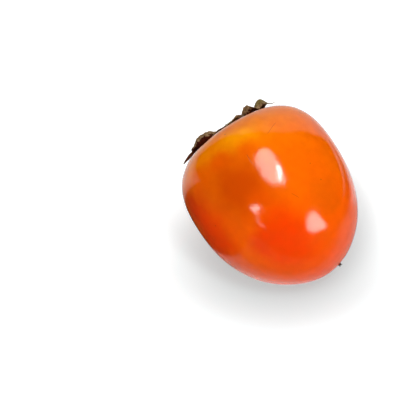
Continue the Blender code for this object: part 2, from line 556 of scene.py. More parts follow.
class LyingFruit:
    """The fruit's frame as it lies, and places on its skin."""

    AXIS_TILT = 38.5
    FLAT_DEPTH = 0.0019
    HALVINGS = 36
    HEIGHT_STEPS = 361
    TURN_STEPS = 360
    LOWEST_TOP = 0.2
    SLOPE_STEP = 0.0005
    TANGENT_HEIGHT = 0.004
    TANGENT_TURN = 1.0

    def __init__(self, rule: SkinRule) -> None:
        """Lay the rule's shape down with its pressed flat spot at the origin.

        Args:
            rule: The rule of the skin.
        """
        self.rule = rule
        self.sizes = asdict(rule)
        self.lay_down = Matrix.Rotation(math.radians(self.AXIS_TILT - 90.0), 3, "Y")
        heights = np.cos(np.linspace(0.0, math.pi, self.HEIGHT_STEPS))[:, None]
        turns = np.radians(np.linspace(0.0, 360.0, self.TURN_STEPS, endpoint=False))[None, :]
        points = self.skin(heights, turns) @ np.array(self.lay_down).T
        lowest = points.reshape(-1, 3)[points[..., 2].argmin()]
        self.centre = Vector(-lowest) - Vector((0.0, 0.0, self.FLAT_DEPTH))

    def skin(self, height: np.ndarray, turn: np.ndarray) -> np.ndarray:
        """Points on the skin in the fruit's own frame.

        Args:
            height: Heights along the axis, from -1 to 1.
            turn: Turns about the axis, in radians.

        Returns:
            The points, with their three parts on the last axis.
        """
        ring = np.sqrt(np.clip(1.0 - height**2, 0.0, 1.0))
        height = height + 0.0 * turn
        parts = SkinRule.surface(Numbers, ring * np.cos(turn), ring * np.sin(turn), height, self.sizes)
        return np.stack(np.broadcast_arrays(*parts), axis=-1)

    def top(self, x: np.ndarray, y: np.ndarray) -> np.ndarray:
        """Height of the skin over points near the stem end, in the fruit's own frame.

        Args:
            x: First part of each point.
            y: Second part of each point.

        Returns:
            The height over each point, found by halving the span that holds it.
        """
        turn = np.arctan2(y, x)
        reach = np.hypot(x, y)
        low = np.full_like(reach, self.LOWEST_TOP)
        high = np.ones_like(reach)
        for _ in range(self.HALVINGS):
            middle = (low + high) / 2.0
            point = self.skin(middle, turn)
            outside = np.hypot(point[..., 0], point[..., 1]) > reach
            low = np.where(outside, middle, low)
            high = np.where(outside, high, middle)
        return self.skin(low, turn)[..., 2]

    def top_normal(self, x: np.ndarray, y: np.ndarray) -> np.ndarray:
        """Outward direction of the skin over points near the stem end.

        Args:
            x: First part of each point.
            y: Second part of each point.

        Returns:
            A unit vector for each point, in the fruit's own frame.
        """
        step = self.SLOPE_STEP
        slope_x = (self.top(x + step, y) - self.top(x - step, y)) / (2.0 * step)
        slope_y = (self.top(x, y + step) - self.top(x, y - step)) / (2.0 * step)
        normal = np.stack([-slope_x, -slope_y, np.ones_like(slope_x)], axis=-1)
        return normal / np.linalg.norm(normal, axis=-1, keepdims=True)

    def stem_seat(self, rise: float = 0.0) -> np.ndarray:
        """The own-frame point on the axis at a rise above the floor of the dimple."""
        return np.array([0.0, 0.0, self.top(np.zeros(1), np.zeros(1))[0] + rise])

    def to_world(self, points: np.ndarray) -> np.ndarray:
        """Own-frame points where the fruit lies."""
        return np.asarray(points) @ np.array(self.lay_down).T + np.array(self.centre)

    def spot(self, height: float, turn: float) -> Vector:
        """A place on the lying skin, by height along the axis and turn in degrees."""
        point = self.skin(np.array(height), np.array(math.radians(turn)))
        return Vector(self.to_world(point))

    def outward(self, height: float, turn: float) -> Vector:
        """Outward direction of the lying skin at a place.

        Args:
            height: Height along the axis, from -1 to 1.
            turn: Turn about the axis, in degrees.

        Returns:
            The unit vector.
        """
        here = self.spot(height, turn)
        along = self.spot(height + self.TANGENT_HEIGHT, turn) - here
        around = self.spot(height, turn + self.TANGENT_TURN) - here
        normal = around.cross(along).normalized()
        return normal if normal.dot(here - self.centre) > 0 else -normal


# Meshes -------------------------------------------------------------------------------


def grid_faces(rows: int, columns: int, start: int = 0, wrap: bool = False) -> list[tuple]:
    """Quads of a grid of points stored row by row.

    Args:
        rows: Number of rows of points.
        columns: Points in a row.
        start: Number of the first point.
        wrap: True joins the last column to the first.

    Returns:
        Point numbers of each quad.
    """
    faces = []
    for row in range(rows - 1):
        for column in range(columns if wrap else columns - 1):
            after = (column + 1) % columns
            a = start + row * columns
            faces.append((a + column, a + after, a + columns + after, a + columns + column))
    return faces


def closed_faces(rings: int, spokes: int, first: int, last: int) -> list[tuple]:
    """Faces of a closed body made of rings, with a fan of triangles at each end.

    Args:
        rings: Number of rings.
        spokes: Points in a ring.
        first: Number of the point that closes the first ring.
        last: Number of the point that closes the last ring.

    Returns:
        Point numbers of each face.
    """
    faces = grid_faces(rings, spokes, wrap=True)
    end = (rings - 1) * spokes
    for spoke in range(spokes):
        after = (spoke + 1) % spokes
        faces.append((first, after, spoke))
        faces.append((last, end + spoke, end + after))
    return faces


def add_object(name: str, data: bpy.types.ID) -> bpy.types.Object:
    """A new object, linked to the scene.

    Args:
        name: Its name.
        data: Its mesh or camera.

    Returns:
        The object.
    """
    piece = bpy.data.objects.new(name, data)
    bpy.context.scene.collection.objects.link(piece)
    return piece


def finished_piece(name: str, points: np.ndarray, faces: list, material: bpy.types.Material,
                   values: dict[str, np.ndarray] | None = None) -> bpy.types.Object:
    """A smooth mesh object at the origin.

    Args:
        name: The piece's name.
        points: World places of its points.
        faces: Point numbers of each face.
        material: Its finish.
        values: Numbers to store on the points, by attribute name.

    Returns:
        The object, linked to the scene.
    """
    mesh = bpy.data.meshes.new(name)
    mesh.from_pydata([tuple(point) for point in points.reshape(-1, 3)], [], faces)
    mesh.update()
    for key, numbers in (values or {}).items():
        layer = mesh.attributes.new(key, "FLOAT", "POINT")
        layer.data.foreach_set("value", np.ascontiguousarray(numbers.ravel(), dtype=np.float32))
    mesh.shade_smooth()
    mesh.materials.append(material)
    return add_object(name, mesh)


def grow(name: str, mesh: bpy.types.Mesh, tree: bpy.types.NodeTree, values: dict,
         material: bpy.types.Material) -> bpy.types.Object:
    """An object with a Geometry Nodes modifier, its inputs set by socket identifier.

    Args:
        name: The object's name.
        mesh: The mesh that the tree may read.
        tree: The Geometry Nodes tree.
        values: Input name to value.
        material: The result's material, also put on the object.

    Returns:
        The object, not yet evaluated.
    """
    piece = add_object(name, mesh)
    modifier = piece.modifiers.new(tree.name, "NODES")
    modifier.node_group = tree
    sockets = {item.name: item.identifier for item in tree.interface.items_tree if item.in_out == "INPUT"}
    for key, value in values.items():
        modifier[sockets[key]] = tuple(value) if isinstance(value, Vector) else value
    if not mesh.materials:
        mesh.materials.append(material)
    return piece


def plain_mesh(piece: bpy.types.Object) -> bpy.types.Object:
    """Turn a piece's evaluated result into its own plain mesh and drop its modifiers.

    Args:
        piece: The object.

    Returns:
        The same object.
    """
    graph = bpy.context.evaluated_depsgraph_get()
    mesh = bpy.data.meshes.new_from_object(piece.evaluated_get(graph))
    piece.modifiers.clear()
    piece.data = mesh
    return piece


def facing_out(piece: bpy.types.Object) -> bpy.types.Object:
    """Make a closed mesh's faces point out, told by the sign of its volume.

    Args:
        piece: The object.

    Returns:
        The same object.
    """
    mesh = piece.data
    mesh.calc_loop_triangles()
    corners = np.array([vertex.co for vertex in mesh.vertices])
    triangles = np.array([triangle.vertices for triangle in mesh.loop_triangles])
    a, b, c = (corners[triangles[:, index]] for index in range(3))
    if np.einsum("ij,ij->i", a, np.cross(b, c)).sum() < 0:
        mesh.flip_normals()
    return piece


def install(piece: bpy.types.Object, slot: Slot, *nodes: str) -> bpy.types.Object:
    """Hang a finished piece on the frame and report it.

    Args:
        piece: The finished object.
        slot: Its material slot.
        *nodes: The solids that it stands for.

    Returns:
        The same object.
    """
    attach(piece, ROOT)
    if nodes:
        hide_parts(*nodes)
    log.info("%s: %d points, stands for %s", piece.name, len(piece.data.vertices), nodes or "no node")
    return piece


def waver(points: np.ndarray, scale: float, seed: float) -> np.ndarray:
    """Smooth noise from -1 to 1 at each point.

    Args:
        points: Places, in metres.
        scale: Waves per metre.
        seed: Shifts the noise.

    Returns:
        One number for each point.
    """
    flat = points.reshape(-1, 3) * scale + seed
    return np.array([noise.noise(Vector(point)) for point in flat]).reshape(points.shape[:-1])


def hump(value: np.ndarray | float, middle: float, spread: np.ndarray | float) -> np.ndarray:
    """A smooth hump: 1 at the middle, and next to nothing beyond two spreads from it."""
    return np.exp(-(((value - middle) / spread) ** 2))


def surface_normals(points: np.ndarray) -> np.ndarray:
    """Unit normals of a grid of points.

    Args:
        points: The grid, with the three parts of each point on the last axis.

    Returns:
        The normals, in the same layout.
    """
    down = np.gradient(points, axis=0)
    right = np.gradient(points, axis=1)
    normal = np.cross(down, right)
    return normal / (np.linalg.norm(normal, axis=-1, keepdims=True) + 1e-12)


# The skin -----------------------------------------------------------------------------


@dataclass(frozen=True)
class Blot:
    """A soft patch of another colour on the skin, or of painted shade."""

    height: float
    turn: float
    radius: float
    colour: tuple
    strength: float = 1.0
    wander: float = 0.3


@dataclass(frozen=True)
class Scratch:
    """A fine healed scratch between two places, each a height and a turn."""

    start: tuple
    end: tuple
    strength: float = 1.0


@dataclass(frozen=True)
class SkinFinish:
    """Waxy, glossy fruit skin: orange with redder and more golden places, and some painted shade."""

    stem_end: tuple = rgb(0.86, 0.228, 0.0006)
    middle: tuple = rgb(0.83, 0.130, 0.0004)
    blossom_end: tuple = rgb(0.83, 0.077, 0.0003)
    cloud: tuple = rgb(0.74, 0.080, 0.0003)
    shade: tuple = rgb(0.52, 0.052, 0.0003)
    speck: tuple = rgb(0.13, 0.018, 0.004)
    scar: tuple = rgb(0.36, 0.045, 0.006)
    blots: tuple = (
        Blot(0.70, 318.0, 0.0095, rgb(0.92, 0.310, 0.0006), 0.80),
        Blot(0.69, 306.0, 0.0060, rgb(0.92, 0.270, 0.0006), 0.55),
        Blot(0.68, 330.0, 0.0085, rgb(0.95, 0.320, 0.0006), 0.75),
        Blot(0.57, 303.0, 0.0090, rgb(0.80, 0.100, 0.0003), 0.85),
        Blot(0.52, 325.0, 0.0075, rgb(0.86, 0.125, 0.0003), 0.70),
        # Painted shade: darker skin on the flank to the camera's left.
        Blot(0.54, 283.0, 0.0120, rgb(0.72, 0.085, 0.0003), 0.75),
        # Painted shade: a broad darker, browner patch on the flank to the camera's left.
        Blot(0.22, 306.0, 0.0260, rgb(0.51, 0.053, 0.0003), 0.95),
        Blot(-0.10, 314.0, 0.0140, rgb(0.74, 0.078, 0.0003), 0.70),
        # Painted shade: redder, darker skin on the flank to the camera's left.
        Blot(0.38, 262.0, 0.0150, rgb(0.62, 0.030, 0.0003), 0.85),
        # Painted shade: redder, darker skin low on the flank to the camera's left.
        Blot(-0.05, 264.0, 0.0230, rgb(0.76, 0.028, 0.0003), 0.78),
        Blot(-0.38, 299.0, 0.0130, rgb(0.66, 0.034, 0.0003), 0.85),
        Blot(-0.32, 316.0, 0.0140, rgb(0.74, 0.044, 0.0003), 0.75),
        Blot(-0.55, 312.0, 0.0200, rgb(0.76, 0.038, 0.0003), 0.90),
        Blot(-0.32, 355.0, 0.0125, rgb(0.56, 0.088, 0.0010), 0.50, 0.5),
        Blot(0.72, 60.0, 0.0120, rgb(0.93, 0.290, 0.0006), 0.70),
        Blot(0.66, 140.0, 0.0140, rgb(0.93, 0.270, 0.0006), 0.70),
        Blot(0.10, 110.0, 0.0200, rgb(0.66, 0.060, 0.0003), 0.75),
        Blot(-0.35, 190.0, 0.0220, rgb(0.70, 0.042, 0.0003), 0.80),
        Blot(0.70, 225.0, 0.0120, rgb(0.93, 0.270, 0.0006), 0.60),
        Blot(0.05, 205.0, 0.0170, rgb(0.62, 0.062, 0.0003), 0.60),
    )
    scratches: tuple = (
        Scratch((0.555, 343.5), (0.622, 354.5), 0.7),
        Scratch((0.479, 323.0), (0.365, 322.5), 1.0),
        Scratch((0.62, 112.0), (0.48, 120.0), 1.0),
        Scratch((0.36, 196.0), (0.22, 206.0), 0.9),
        Scratch((-0.25, 66.0), (-0.42, 62.0), 0.8),
        Scratch((0.30, 40.0), (0.24, 49.0), 0.7),
        Scratch((-0.12, 334.0), (-0.20, 337.0), 0.8),
    )
    drift_scale: float = 28.0
    drift: float = 0.7
    cloud_size: float = 0.034
    cloud_share: float = 0.35
    fine_size: float = 0.0042
    fine_share: float = 0.16
    dot_spacing: float = 0.0062
    dot_radius: float = 0.00042
    dot_share: float = 0.55
    small_spacing: float = 0.0024
    small_radius: float = 0.00016
    small_share: float = 0.28
    dot_strength: float = 0.85
    small_strength: float = 0.50
    scratch_strength: float = 0.75
    scratch_width: float = 0.00022
    mark_roughness: float = 0.3
    peel_sizes: tuple = ((900.0, 0.9), (330.0, 0.8), (2100.0, 0.4))
    peel_relief: float = 0.000030
    least_roughness: float = 0.045
    most_roughness: float = 0.075

    def build(self, effects: Effects, fruit: LyingFruit) -> bpy.types.Material:
        """The skin's material.

        Args:
            effects: The shared shader groups.
            fruit: The lying fruit, for the places of patches and scratches.

        Returns:
            The material.
        """
        paint = Paint("fruit_skin", {
            "IOR": 1.46,
            "Subsurface Weight": 0.10,
            "Subsurface Radius": (1.0, 0.28, 0.06),
            "Subsurface Scale": 0.004,
        })
        graph, place = paint.graph, paint.place
        clouds = effects.mottled(paint, self.cloud_size, 1.1, 0.31)
        colour = graph.mix(clouds * self.cloud_share, self._ground(paint, fruit), self.cloud)
        # The blots hold the skin's own patches, and painted shade on the flank to the camera's left.
        for blot in self.blots:
            mask = effects.use(
                graph, effects.patch, Place=place, Centre=fruit.spot(blot.height, blot.turn),
                Radius=blot.radius, Wander=blot.wander,
            )
            colour = graph.mix(mask * blot.strength, colour, blot.colour)
        fine = effects.mottled(paint, self.fine_size, 1.0, 0.77)
        colour = graph.mix(fine * self.fine_share, colour, self.shade)
        dots = effects.specked(paint, self.dot_spacing, self.dot_radius, self.dot_share)
        small = effects.specked(paint, self.small_spacing, self.small_radius, self.small_share)
        marks = graph.math("MAXIMUM", dots * self.dot_strength, small * self.small_strength)
        colour = graph.mix(marks, colour, self.speck)
        scratch = self._scratches(paint, effects, fruit)
        colour = graph.mix(scratch * self.scratch_strength, colour, self.scar)
        gloss = graph.ramp(
            clouds * 0.6 + fine * 0.4, 0.0, 1.0, self.least_roughness, self.most_roughness
        )
        relief = self._peel(paint) - marks * 0.9 - scratch * 0.6
        return paint.wear(
            Base_Color=colour,
            Roughness=gloss + marks * self.mark_roughness,
            Normal=graph.bump(relief, self.peel_relief),
        )

    def _ground(self, paint: Paint, fruit: LyingFruit) -> Signal:
        """The skin's ground colour, which changes from end to end.

        Args:
            paint: The material being built.
            fruit: The lying fruit, for its axis.

        Returns:
            The colour.
        """
        graph, place = paint.graph, paint.place
        axis = fruit.lay_down @ Vector((0.0, 0.0, 1.0))
        arm = graph.vector_math("SUBTRACT", place, fruit.centre)
        height = graph.measure("DOT_PRODUCT", arm, axis) / fruit.rule.half_length
        height = height + (graph.noise(place, self.drift_scale, detail=2.0) - 0.5) * self.drift
        colour = graph.mix(graph.ramp(height, -1.0, 0.1), self.blossom_end, self.middle)
        return graph.mix(graph.ramp(height, 0.1, 1.0), colour, self.stem_end)

    def _peel(self, paint: Paint) -> Signal:
        """Height of the peel's fine unevenness.

        Args:
            paint: The material being built.

        Returns:
            The height, a sum of three sizes of noise.
        """
        first, second, third = (
            paint.graph.noise(paint.place, scale) * weight for scale, weight in self.peel_sizes
        )
        return first + second + third

    def _scratches(self, paint: Paint, effects: Effects, fruit: LyingFruit) -> Signal:
        """Mask of the few fine healed scratches.

        Args:
            paint: The material being built.
            effects: The shared shader groups.
            fruit: The lying fruit, on whose skin the scratches lie.

        Returns:
            The mask.
        """
        graph, total = paint.graph, 0.0
        for scratch in self.scratches:
            start, end = fruit.spot(*scratch.start), fruit.spot(*scratch.end)
            across = (end - start).cross(fruit.outward(*scratch.start)).normalized()
            mask = effects.use(
                graph, effects.hairline, Place=paint.place, Middle=(start + end) / 2.0, Across=across,
                Half_Length=(end - start).length * 0.6, Width=self.scratch_width,
            )
            total = graph.math("MAXIMUM", total, mask * scratch.strength)
        return total


@dataclass(frozen=True)
class FruitSkin:
    """The body of the fruit, one closed surface that follows the skin's rule."""

    segments: int = 336
    rings: int = 208
    ripple: float = 0.00022
    ripple_scale: float = 62.0
    foot_blend: float = 0.0005

    def tree(self, rule: SkinRule, material: bpy.types.Material) -> bpy.types.NodeTree:
        """The Geometry Nodes tree that grows the skin from a sphere.

        Args:
            rule: Its fields become the tree's named inputs.
            material: Set on the result.

        Returns:
            The tree.
        """
        sizes = {field.name: field.name.replace("_", " ").title() for field in fields(rule)}
        ports: dict = {label: getattr(rule, name) for name, label in sizes.items()}
        ports |= {"Tilt": 0.0, "Rest Place": ORIGIN, "Ripple": 0.0, "Ripple Scale": 1.0}
        ports |= {"Foot Blend": self.foot_blend}
        graph, given, leave = new_group(
            "Persimmon Skin", "GeometryNodeTree", ports, {"Geometry": "NodeSocketGeometry"}
        )
        ball = graph.node(
            "GeometryNodeMeshUVSphere", {"Segments": self.segments, "Rings": self.rings, "Radius": 1.0}
        )
        x, y, z = graph.split(graph.out(graph.node("GeometryNodeInputPosition")))
        size = {name: given[label] for name, label in sizes.items()}
        skin = graph.vector(*SkinRule.surface(graph, x, y, z, size))
        wave = graph.noise(skin, given["Ripple Scale"], detail=1.5) - 0.5
        push = graph.scaled(graph.vector(x, y, z), wave * given["Ripple"] * 2.0)
        across, aside, along = graph.split(graph.vector_math("ADD", skin, push))
        cosine, sine = graph.cos(given["Tilt"]), graph.sin(given["Tilt"])
        laid = graph.vector(across * cosine + along * sine, aside, along * cosine - across * sine)
        rest_x, rest_y, rest_z = graph.split(graph.vector_math("ADD", laid, given["Rest Place"]))
        foot = graph.math("SMOOTH_MAX", rest_z, 0.0, given["Foot Blend"])
        moved = graph.node("GeometryNodeSetPosition", {
            "Geometry": graph.out(ball, "Mesh"), "Position": graph.vector(rest_x, rest_y, foot),
        })
        smooth = graph.node("GeometryNodeSetShadeSmooth", {"Geometry": graph.out(moved)})
        graph.dress(graph.out(smooth), material, leave)
        return graph.tree

    def build(self, fruit: LyingFruit, material: bpy.types.Material) -> bpy.types.Object:
        """The finished skin.

        Args:
            fruit: The lying fruit.
            material: The skin's material.

        Returns:
            The skin as an object with a plain mesh.
        """
        tree = self.tree(fruit.rule, material)
        values = {
            "Tilt": math.radians(fruit.AXIS_TILT - 90.0), "Rest Place": fruit.centre,
            "Ripple": self.ripple, "Ripple Scale": self.ripple_scale, "Foot Blend": self.foot_blend,
        }
        return plain_mesh(grow("fruit_skin", bpy.data.meshes.new("fruit_skin"), tree, values, material))


# The calyx ----------------------------------------------------------------------------


@dataclass(frozen=True)
class CalyxFinish:
    """Dried leathery sepals: olive brown above, maroon black below, grey tan at the edges."""

    upper: tuple = rgb(0.090, 0.052, 0.010)
    upper_light: tuple = rgb(0.230, 0.165, 0.060)
    lower: tuple = rgb(0.014, 0.0020, 0.0010)
    lower_light: tuple = rgb(0.085, 0.012, 0.004)
    edge: tuple = rgb(0.330, 0.215, 0.110)
    edge_dark: tuple = rgb(0.090, 0.048, 0.018)
    vein: tuple = rgb(0.280, 0.195, 0.090)
    tip: tuple = rgb(0.085, 0.022, 0.010)
    tip_pale: tuple = rgb(0.330, 0.330, 0.230)
    fold: tuple = rgb(0.080, 0.040, 0.009)
    blotch_size: float = 0.0048
    grain_size: float = 0.0011
    speck_spacing: float = 0.0011
    speck_radius: float = 0.00016
    relief: float = 0.00018

    def build(self, effects: Effects) -> bpy.types.Material:
        """The sepals' material, which reads each sheet's own attributes.

        Args:
            effects: The shared shader groups.

        Returns:
            The material.
        """
        paint = Paint("sepal_leather", {"IOR": 1.45, "Specular IOR Level": 0.04})
        graph = paint.graph
        along, edge, upper, vein, pale = (
            paint.attribute(name) for name in ("along", "edge", "upper", "vein", "pale")
        )
        blotch = effects.mottled(paint, self.blotch_size, 1.5, 0.13)
        grain = effects.mottled(paint, self.grain_size, 1.3, 0.57)
        top = graph.mix(blotch * 0.6 + grain * 0.4, self.upper, self.upper_light)
        top = graph.mix(vein * 0.8, top, self.vein)
        under = graph.mix(blotch * 0.45 + grain * 0.25, self.lower, self.lower_light)
        under = graph.mix(vein * 0.35, under, self.lower_light)
        under = graph.mix(graph.ramp(along, 0.42, 0.60) * pale * 0.85, under, self.fold)
        colour = graph.mix(upper, under, top)
        bleached = graph.mix(blotch * 0.5 + grain * 0.5, self.edge_dark, self.edge)
        near_edge = edge + (grain - 0.5) * 0.08 + (blotch - 0.5) * 0.06 + pale * 0.12
        colour = graph.mix(graph.ramp(near_edge, 0.84, 0.91) * 0.9, colour, bleached)
        point = graph.ramp(along + (blotch - 0.5) * 0.12, pale * 0.17 + 0.62, pale * 0.08 + 0.85)
        colour = graph.mix(point * 0.85, colour, graph.mix(pale, self.tip, self.tip_pale))
        specks = effects.specked(paint, self.speck_spacing, self.speck_radius, 0.35)
        colour = graph.mix(specks * 0.6, colour, self.lower)
        relief = grain * 0.6 + blotch * 0.4 - specks * 0.5
        return paint.wear(
            Base_Color=colour,
            Roughness=graph.ramp(blotch, 0.0, 1.0, 0.55, 0.80),
            Normal=graph.bump(relief, self.relief),
        )


@dataclass(frozen=True)
class Sepal:
    """One calyx lobe: a thin crumpled sheet over the shoulder with rolled margins.

    Along runs from its broad base (0) to the end of its drawn-out point (1), and across from
    one margin (-1) to the other (1).  A positive roll turns a margin up and back over.
    A hooded sheet is narrower at its waist and wider at its crown: each is a share of the width,
    a place along the blade and a spread.
    """

    name: str
    turn: float
    reach: float
    roll_left: float
    roll_right: float
    seed: float
    arch: float = 0.0007
    tip_lift: float = 0.0006
    bend: float = 0.0
    lump: float = 0.0
    hood: float = 0.0
    twist: float = 0.0
    tip_from: float = 0.72
    tip_width: float = 0.0022
    waviness: float = 0.16
    pale: float = 0.0
    roll_from: float = 0.50
    roll_after: float = 0.05
    start: float = 0.0060
    half_width: float = 0.0106
    thickness: float = 0.00050
    crumple: float = 0.00040
    pleat: float = 0.00022
    waist: tuple = (-0.27, 0.61, 0.10)
    crown: tuple = (0.30, 0.86, 0.09)
    lump_place: float = 0.84
    lump_before: float = 0.22
    lump_after: float = 0.14
    end_bleach: float = 0.66
    gap: float = 0.00045
    least_gap: float = 0.00036
    vein_rise: float = 0.00016
    vein_dip: float = 0.00010
    rows: int = 96
    columns: int = 80
    roll_steps: int = 48

    def half_widths(self, along: np.ndarray) -> np.ndarray:
        """Half the sheet's width: a broad blade, then a thin point.

        Args:
            along: Places along the sheet, from 0 to 1.

        Returns:
            The half width at each place, in metres.
        """
        blade = np.clip(along / self.tip_from, 0.0, 1.0)
        bow = np.sin(math.pi * (0.14 + 0.86 * blade**1.1)) ** 0.8
        body = self.half_width * bow * (1.0 - 0.15 * blade**2)
        if self.hood:
            for share, place, spread in (self.waist, self.crown):
                body = body * (1.0 + share * hump(blade, place, spread))
        point = self.tip_width * (0.05 + 0.95 * np.clip(1.0 - along, 0.0, 1.0))
        ragged = 1.0 + 0.030 * np.sin(along * 23.0 + self.seed) + 0.022 * np.sin(along * 61.0 + self.seed)
        return (np.nan_to_num(body) + point) * ragged

    def rolled(self, across: np.ndarray, width: np.ndarray, roll: np.ndarray, start: np.ndarray) -> tuple:
        """Travel across the sheet, along a margin whose slope grows to its roll.

        Args:
            across: Places across the sheet, from -1 to 1.
            width: Half width at each place.
            roll: Slope at the margin, in radians.
            start: Share of the half width where the slope begins.

        Returns:
            Sideways and upward travel at each place, in metres.
        """
        side, rise = np.zeros_like(across), np.zeros_like(across)
        for index in range(self.roll_steps):
            share = np.abs(across) * (index + 0.5) / self.roll_steps
            share = np.clip(share - start, 0.0, 1.0) / (1.0 - start)
            side += np.cos(roll * share**1.2) / self.roll_steps
            rise += np.sin(roll * share**1.2) / self.roll_steps
        return width * across * side, width * np.abs(across) * rise

    def veins(self, along: np.ndarray, across: np.ndarray) -> np.ndarray:
        """Strength of the midrib and of the side veins that leave it.

        Args:
            along: Places along the sheet, from 0 to 1.
            across: Places across it, from -1 to 1.

        Returns:
            A number from 0 to 1 at each place.
        """
        midrib = hump(across, 0.0, 0.040) * (1.0 - 0.4 * along)
        fan = across * 3.6 + 0.10 * np.sin(along * 7.0 + self.seed)
        ribs = hump((fan + 0.5) % 1.0, 0.5, 0.085) * np.clip(0.75 - 0.5 * along, 0.0, 1.0)
        branch = (along * 10.0 - np.abs(across) * 4.0 + 0.3 * np.sin(across * 11.0 + self.seed)) % 1.0
        ribs = np.maximum(ribs, 0.45 * hump(branch, 0.5, 0.09))
        ribs *= np.clip(1.25 - np.abs(across), 0.0, 1.0) * np.clip(1.2 - along, 0.0, 1.0)
        return np.clip(midrib + ribs, 0.0, 1.0)

    def sheet(self, fruit: LyingFruit) -> tuple:
        """Middle surface of the sheet in the fruit's own frame, with its parameters.

        Args:
            fruit: The fruit whose skin it follows.

        Returns:
            Its points, their places along and across, and their nearness to a bleached edge.
        """
        along = np.linspace(0.0, 1.0, self.rows)
        across = np.sin(np.linspace(-1.0, 1.0, self.columns) * 1.35) / math.sin(1.35)
        along, across = np.meshgrid(along, across, indexing="ij")
        width = self.half_widths(along)
        wavy = 1.0 + self.waviness * np.sin(along * 9.0 + self.seed * 3.0)
        begun = np.clip((along - self.roll_after) * 3.0, 0.0, 1.0)
        roll = np.where(across > 0, self.roll_left, self.roll_right) * wavy * begun
        hooded = np.clip((along / self.tip_from - 0.45) / 0.3, 0.0, 1.0) * (self.hood > 0)
        roll = roll * (1.0 - hooded) - self.hood * hooded
        side, rise = self.rolled(across, width, roll, self.roll_from * (1.0 - 0.8 * hooded))
        reach = self.start + (self.reach - self.start) * along
        side = side + self.bend * along**2
        angle = math.radians(self.turn) + fruit.rule.lobe_turn
        x = reach * math.cos(angle) - side * math.sin(angle)
        y = reach * math.sin(angle) + side * math.cos(angle)
        foot = np.stack([x, y, fruit.top(x, y)], axis=-1)
        normal = fruit.top_normal(x, y)
        middle = along / self.tip_from
        lift = self.gap + self.arch * np.sin(math.pi * along) + self.tip_lift * along**4
        spread = np.where(middle < self.lump_place, self.lump_before, self.lump_after)
        lift = lift + self.lump * hump(middle, self.lump_place, spread)
        lift = lift + self.pleat * np.cos(across * 8.5 + self.seed) * np.sin(math.pi * along)
        edge = np.maximum(np.abs(across), np.clip((middle - 0.75) * 4.0, 0.0, self.end_bleach))
        crumple = waver(foot + rise[..., None], 150.0, self.seed)
        crumple = crumple + 0.5 * waver(foot + rise[..., None], 410.0, self.seed + 7.0)
        loose = 0.35 + 0.75 * np.clip(np.abs(across) * 1.2, 0.0, 1.0)
        lift = lift + rise + crumple * self.crumple * loose
        lift = lift + self.twist * across * width * np.clip((along - 0.62) * 4.0, 0.0, 1.0)
        return foot + normal * np.maximum(lift, self.least_gap)[..., None], along, across, edge

    def build(self, fruit: LyingFruit, material: bpy.types.Material) -> bpy.types.Object:
        """Make the lobe, with its two faces and the rim between them.

        Args:
            fruit: The fruit whose skin it follows.
            material: Its finish.

        Returns:
            The closed sheet.
        """
        middle, along, across, edge = self.sheet(fruit)
        normal = surface_normals(middle)
        if normal[..., 2].mean() < 0:
            normal = -normal
        vein = self.veins(along, across)
        thick = self.thickness * (1.0 - 0.55 * np.abs(across) ** 3) * (1.0 - 0.35 * along)
        upper = middle + normal * (thick * 0.5 - vein * self.vein_dip)[..., None]
        lower = middle - normal * (thick * 0.5 + vein * self.vein_rise)[..., None]
        rows, columns = along.shape
        count = rows * columns
        faces = grid_faces(rows, columns)
        flipped = [tuple(index + count for index in reversed(face)) for face in faces]
        grid = np.arange(count).reshape(rows, columns)
        loop = [*grid[0], *grid[1:, -1], *grid[-1, -2::-1], *grid[-2:0:-1, 0]]
        numbers = [int(number) for number in loop]
        rim = [(after, here, here + count, after + count)
               for here, after in zip(numbers, numbers[1:] + numbers[:1])]
        points = fruit.to_world(np.concatenate([upper.reshape(-1, 3), lower.reshape(-1, 3)]))
        values = {"along": np.tile(along.ravel(), 2), "edge": np.tile(edge.ravel(), 2),
                  "vein": np.tile(vein.ravel(), 2), "upper": np.repeat([1.0, 0.0], count),
                  "pale": np.full(2 * count, self.pale)}
        faces += flipped + rim
        return facing_out(finished_piece(f"{self.name}_sheet", points, faces, material, values))


@dataclass(frozen=True)
class PadFinish:
    """The thick middle of the calyx: olive tan, with painted shade in its folds and round the stem."""

    light: tuple = rgb(0.300, 0.205, 0.070)
    dark: tuple = rgb(0.085, 0.052, 0.018)
    deep: tuple = rgb(0.030, 0.018, 0.010)
    blotch_size: float = 0.0045
    grain_size: float = 0.0009
    relief: float = 0.00015

    def build(self, effects: Effects, middle: Vector) -> bpy.types.Material:
        """The pad's material.

        Args:
            effects: The shared shader groups.
            middle: The foot of the stem, round which shade is painted on the pad.

        Returns:
            The material.
        """
        paint = Paint("calyx_pad", {"IOR": 1.45, "Specular IOR Level": 0.35})
        graph = paint.graph
        blotch = effects.mottled(paint, self.blotch_size, 1.4, 0.41)
        grain = effects.mottled(paint, self.grain_size, 1.3, 0.83)
        folds = paint.attribute("fold")
        colour = graph.mix(blotch * 0.6 + grain * 0.4, self.light, self.dark)
        # Painted shade in the valleys of the folds.
        colour = graph.mix(folds * 0.75, colour, self.deep)
        # Painted shade round the stem's foot, strongest next to it.
        near = graph.measure("DISTANCE", paint.place, middle)
        colour = graph.mix(graph.ramp(near, 0.0018, 0.0042, 0.8, 0.0), colour, self.deep)
        return paint.wear(
            Base_Color=colour,
            Roughness=graph.ramp(grain, 0.0, 1.0, 0.55, 0.8),
            Normal=graph.bump(grain * 0.6 + blotch * 0.4, self.relief),
        )


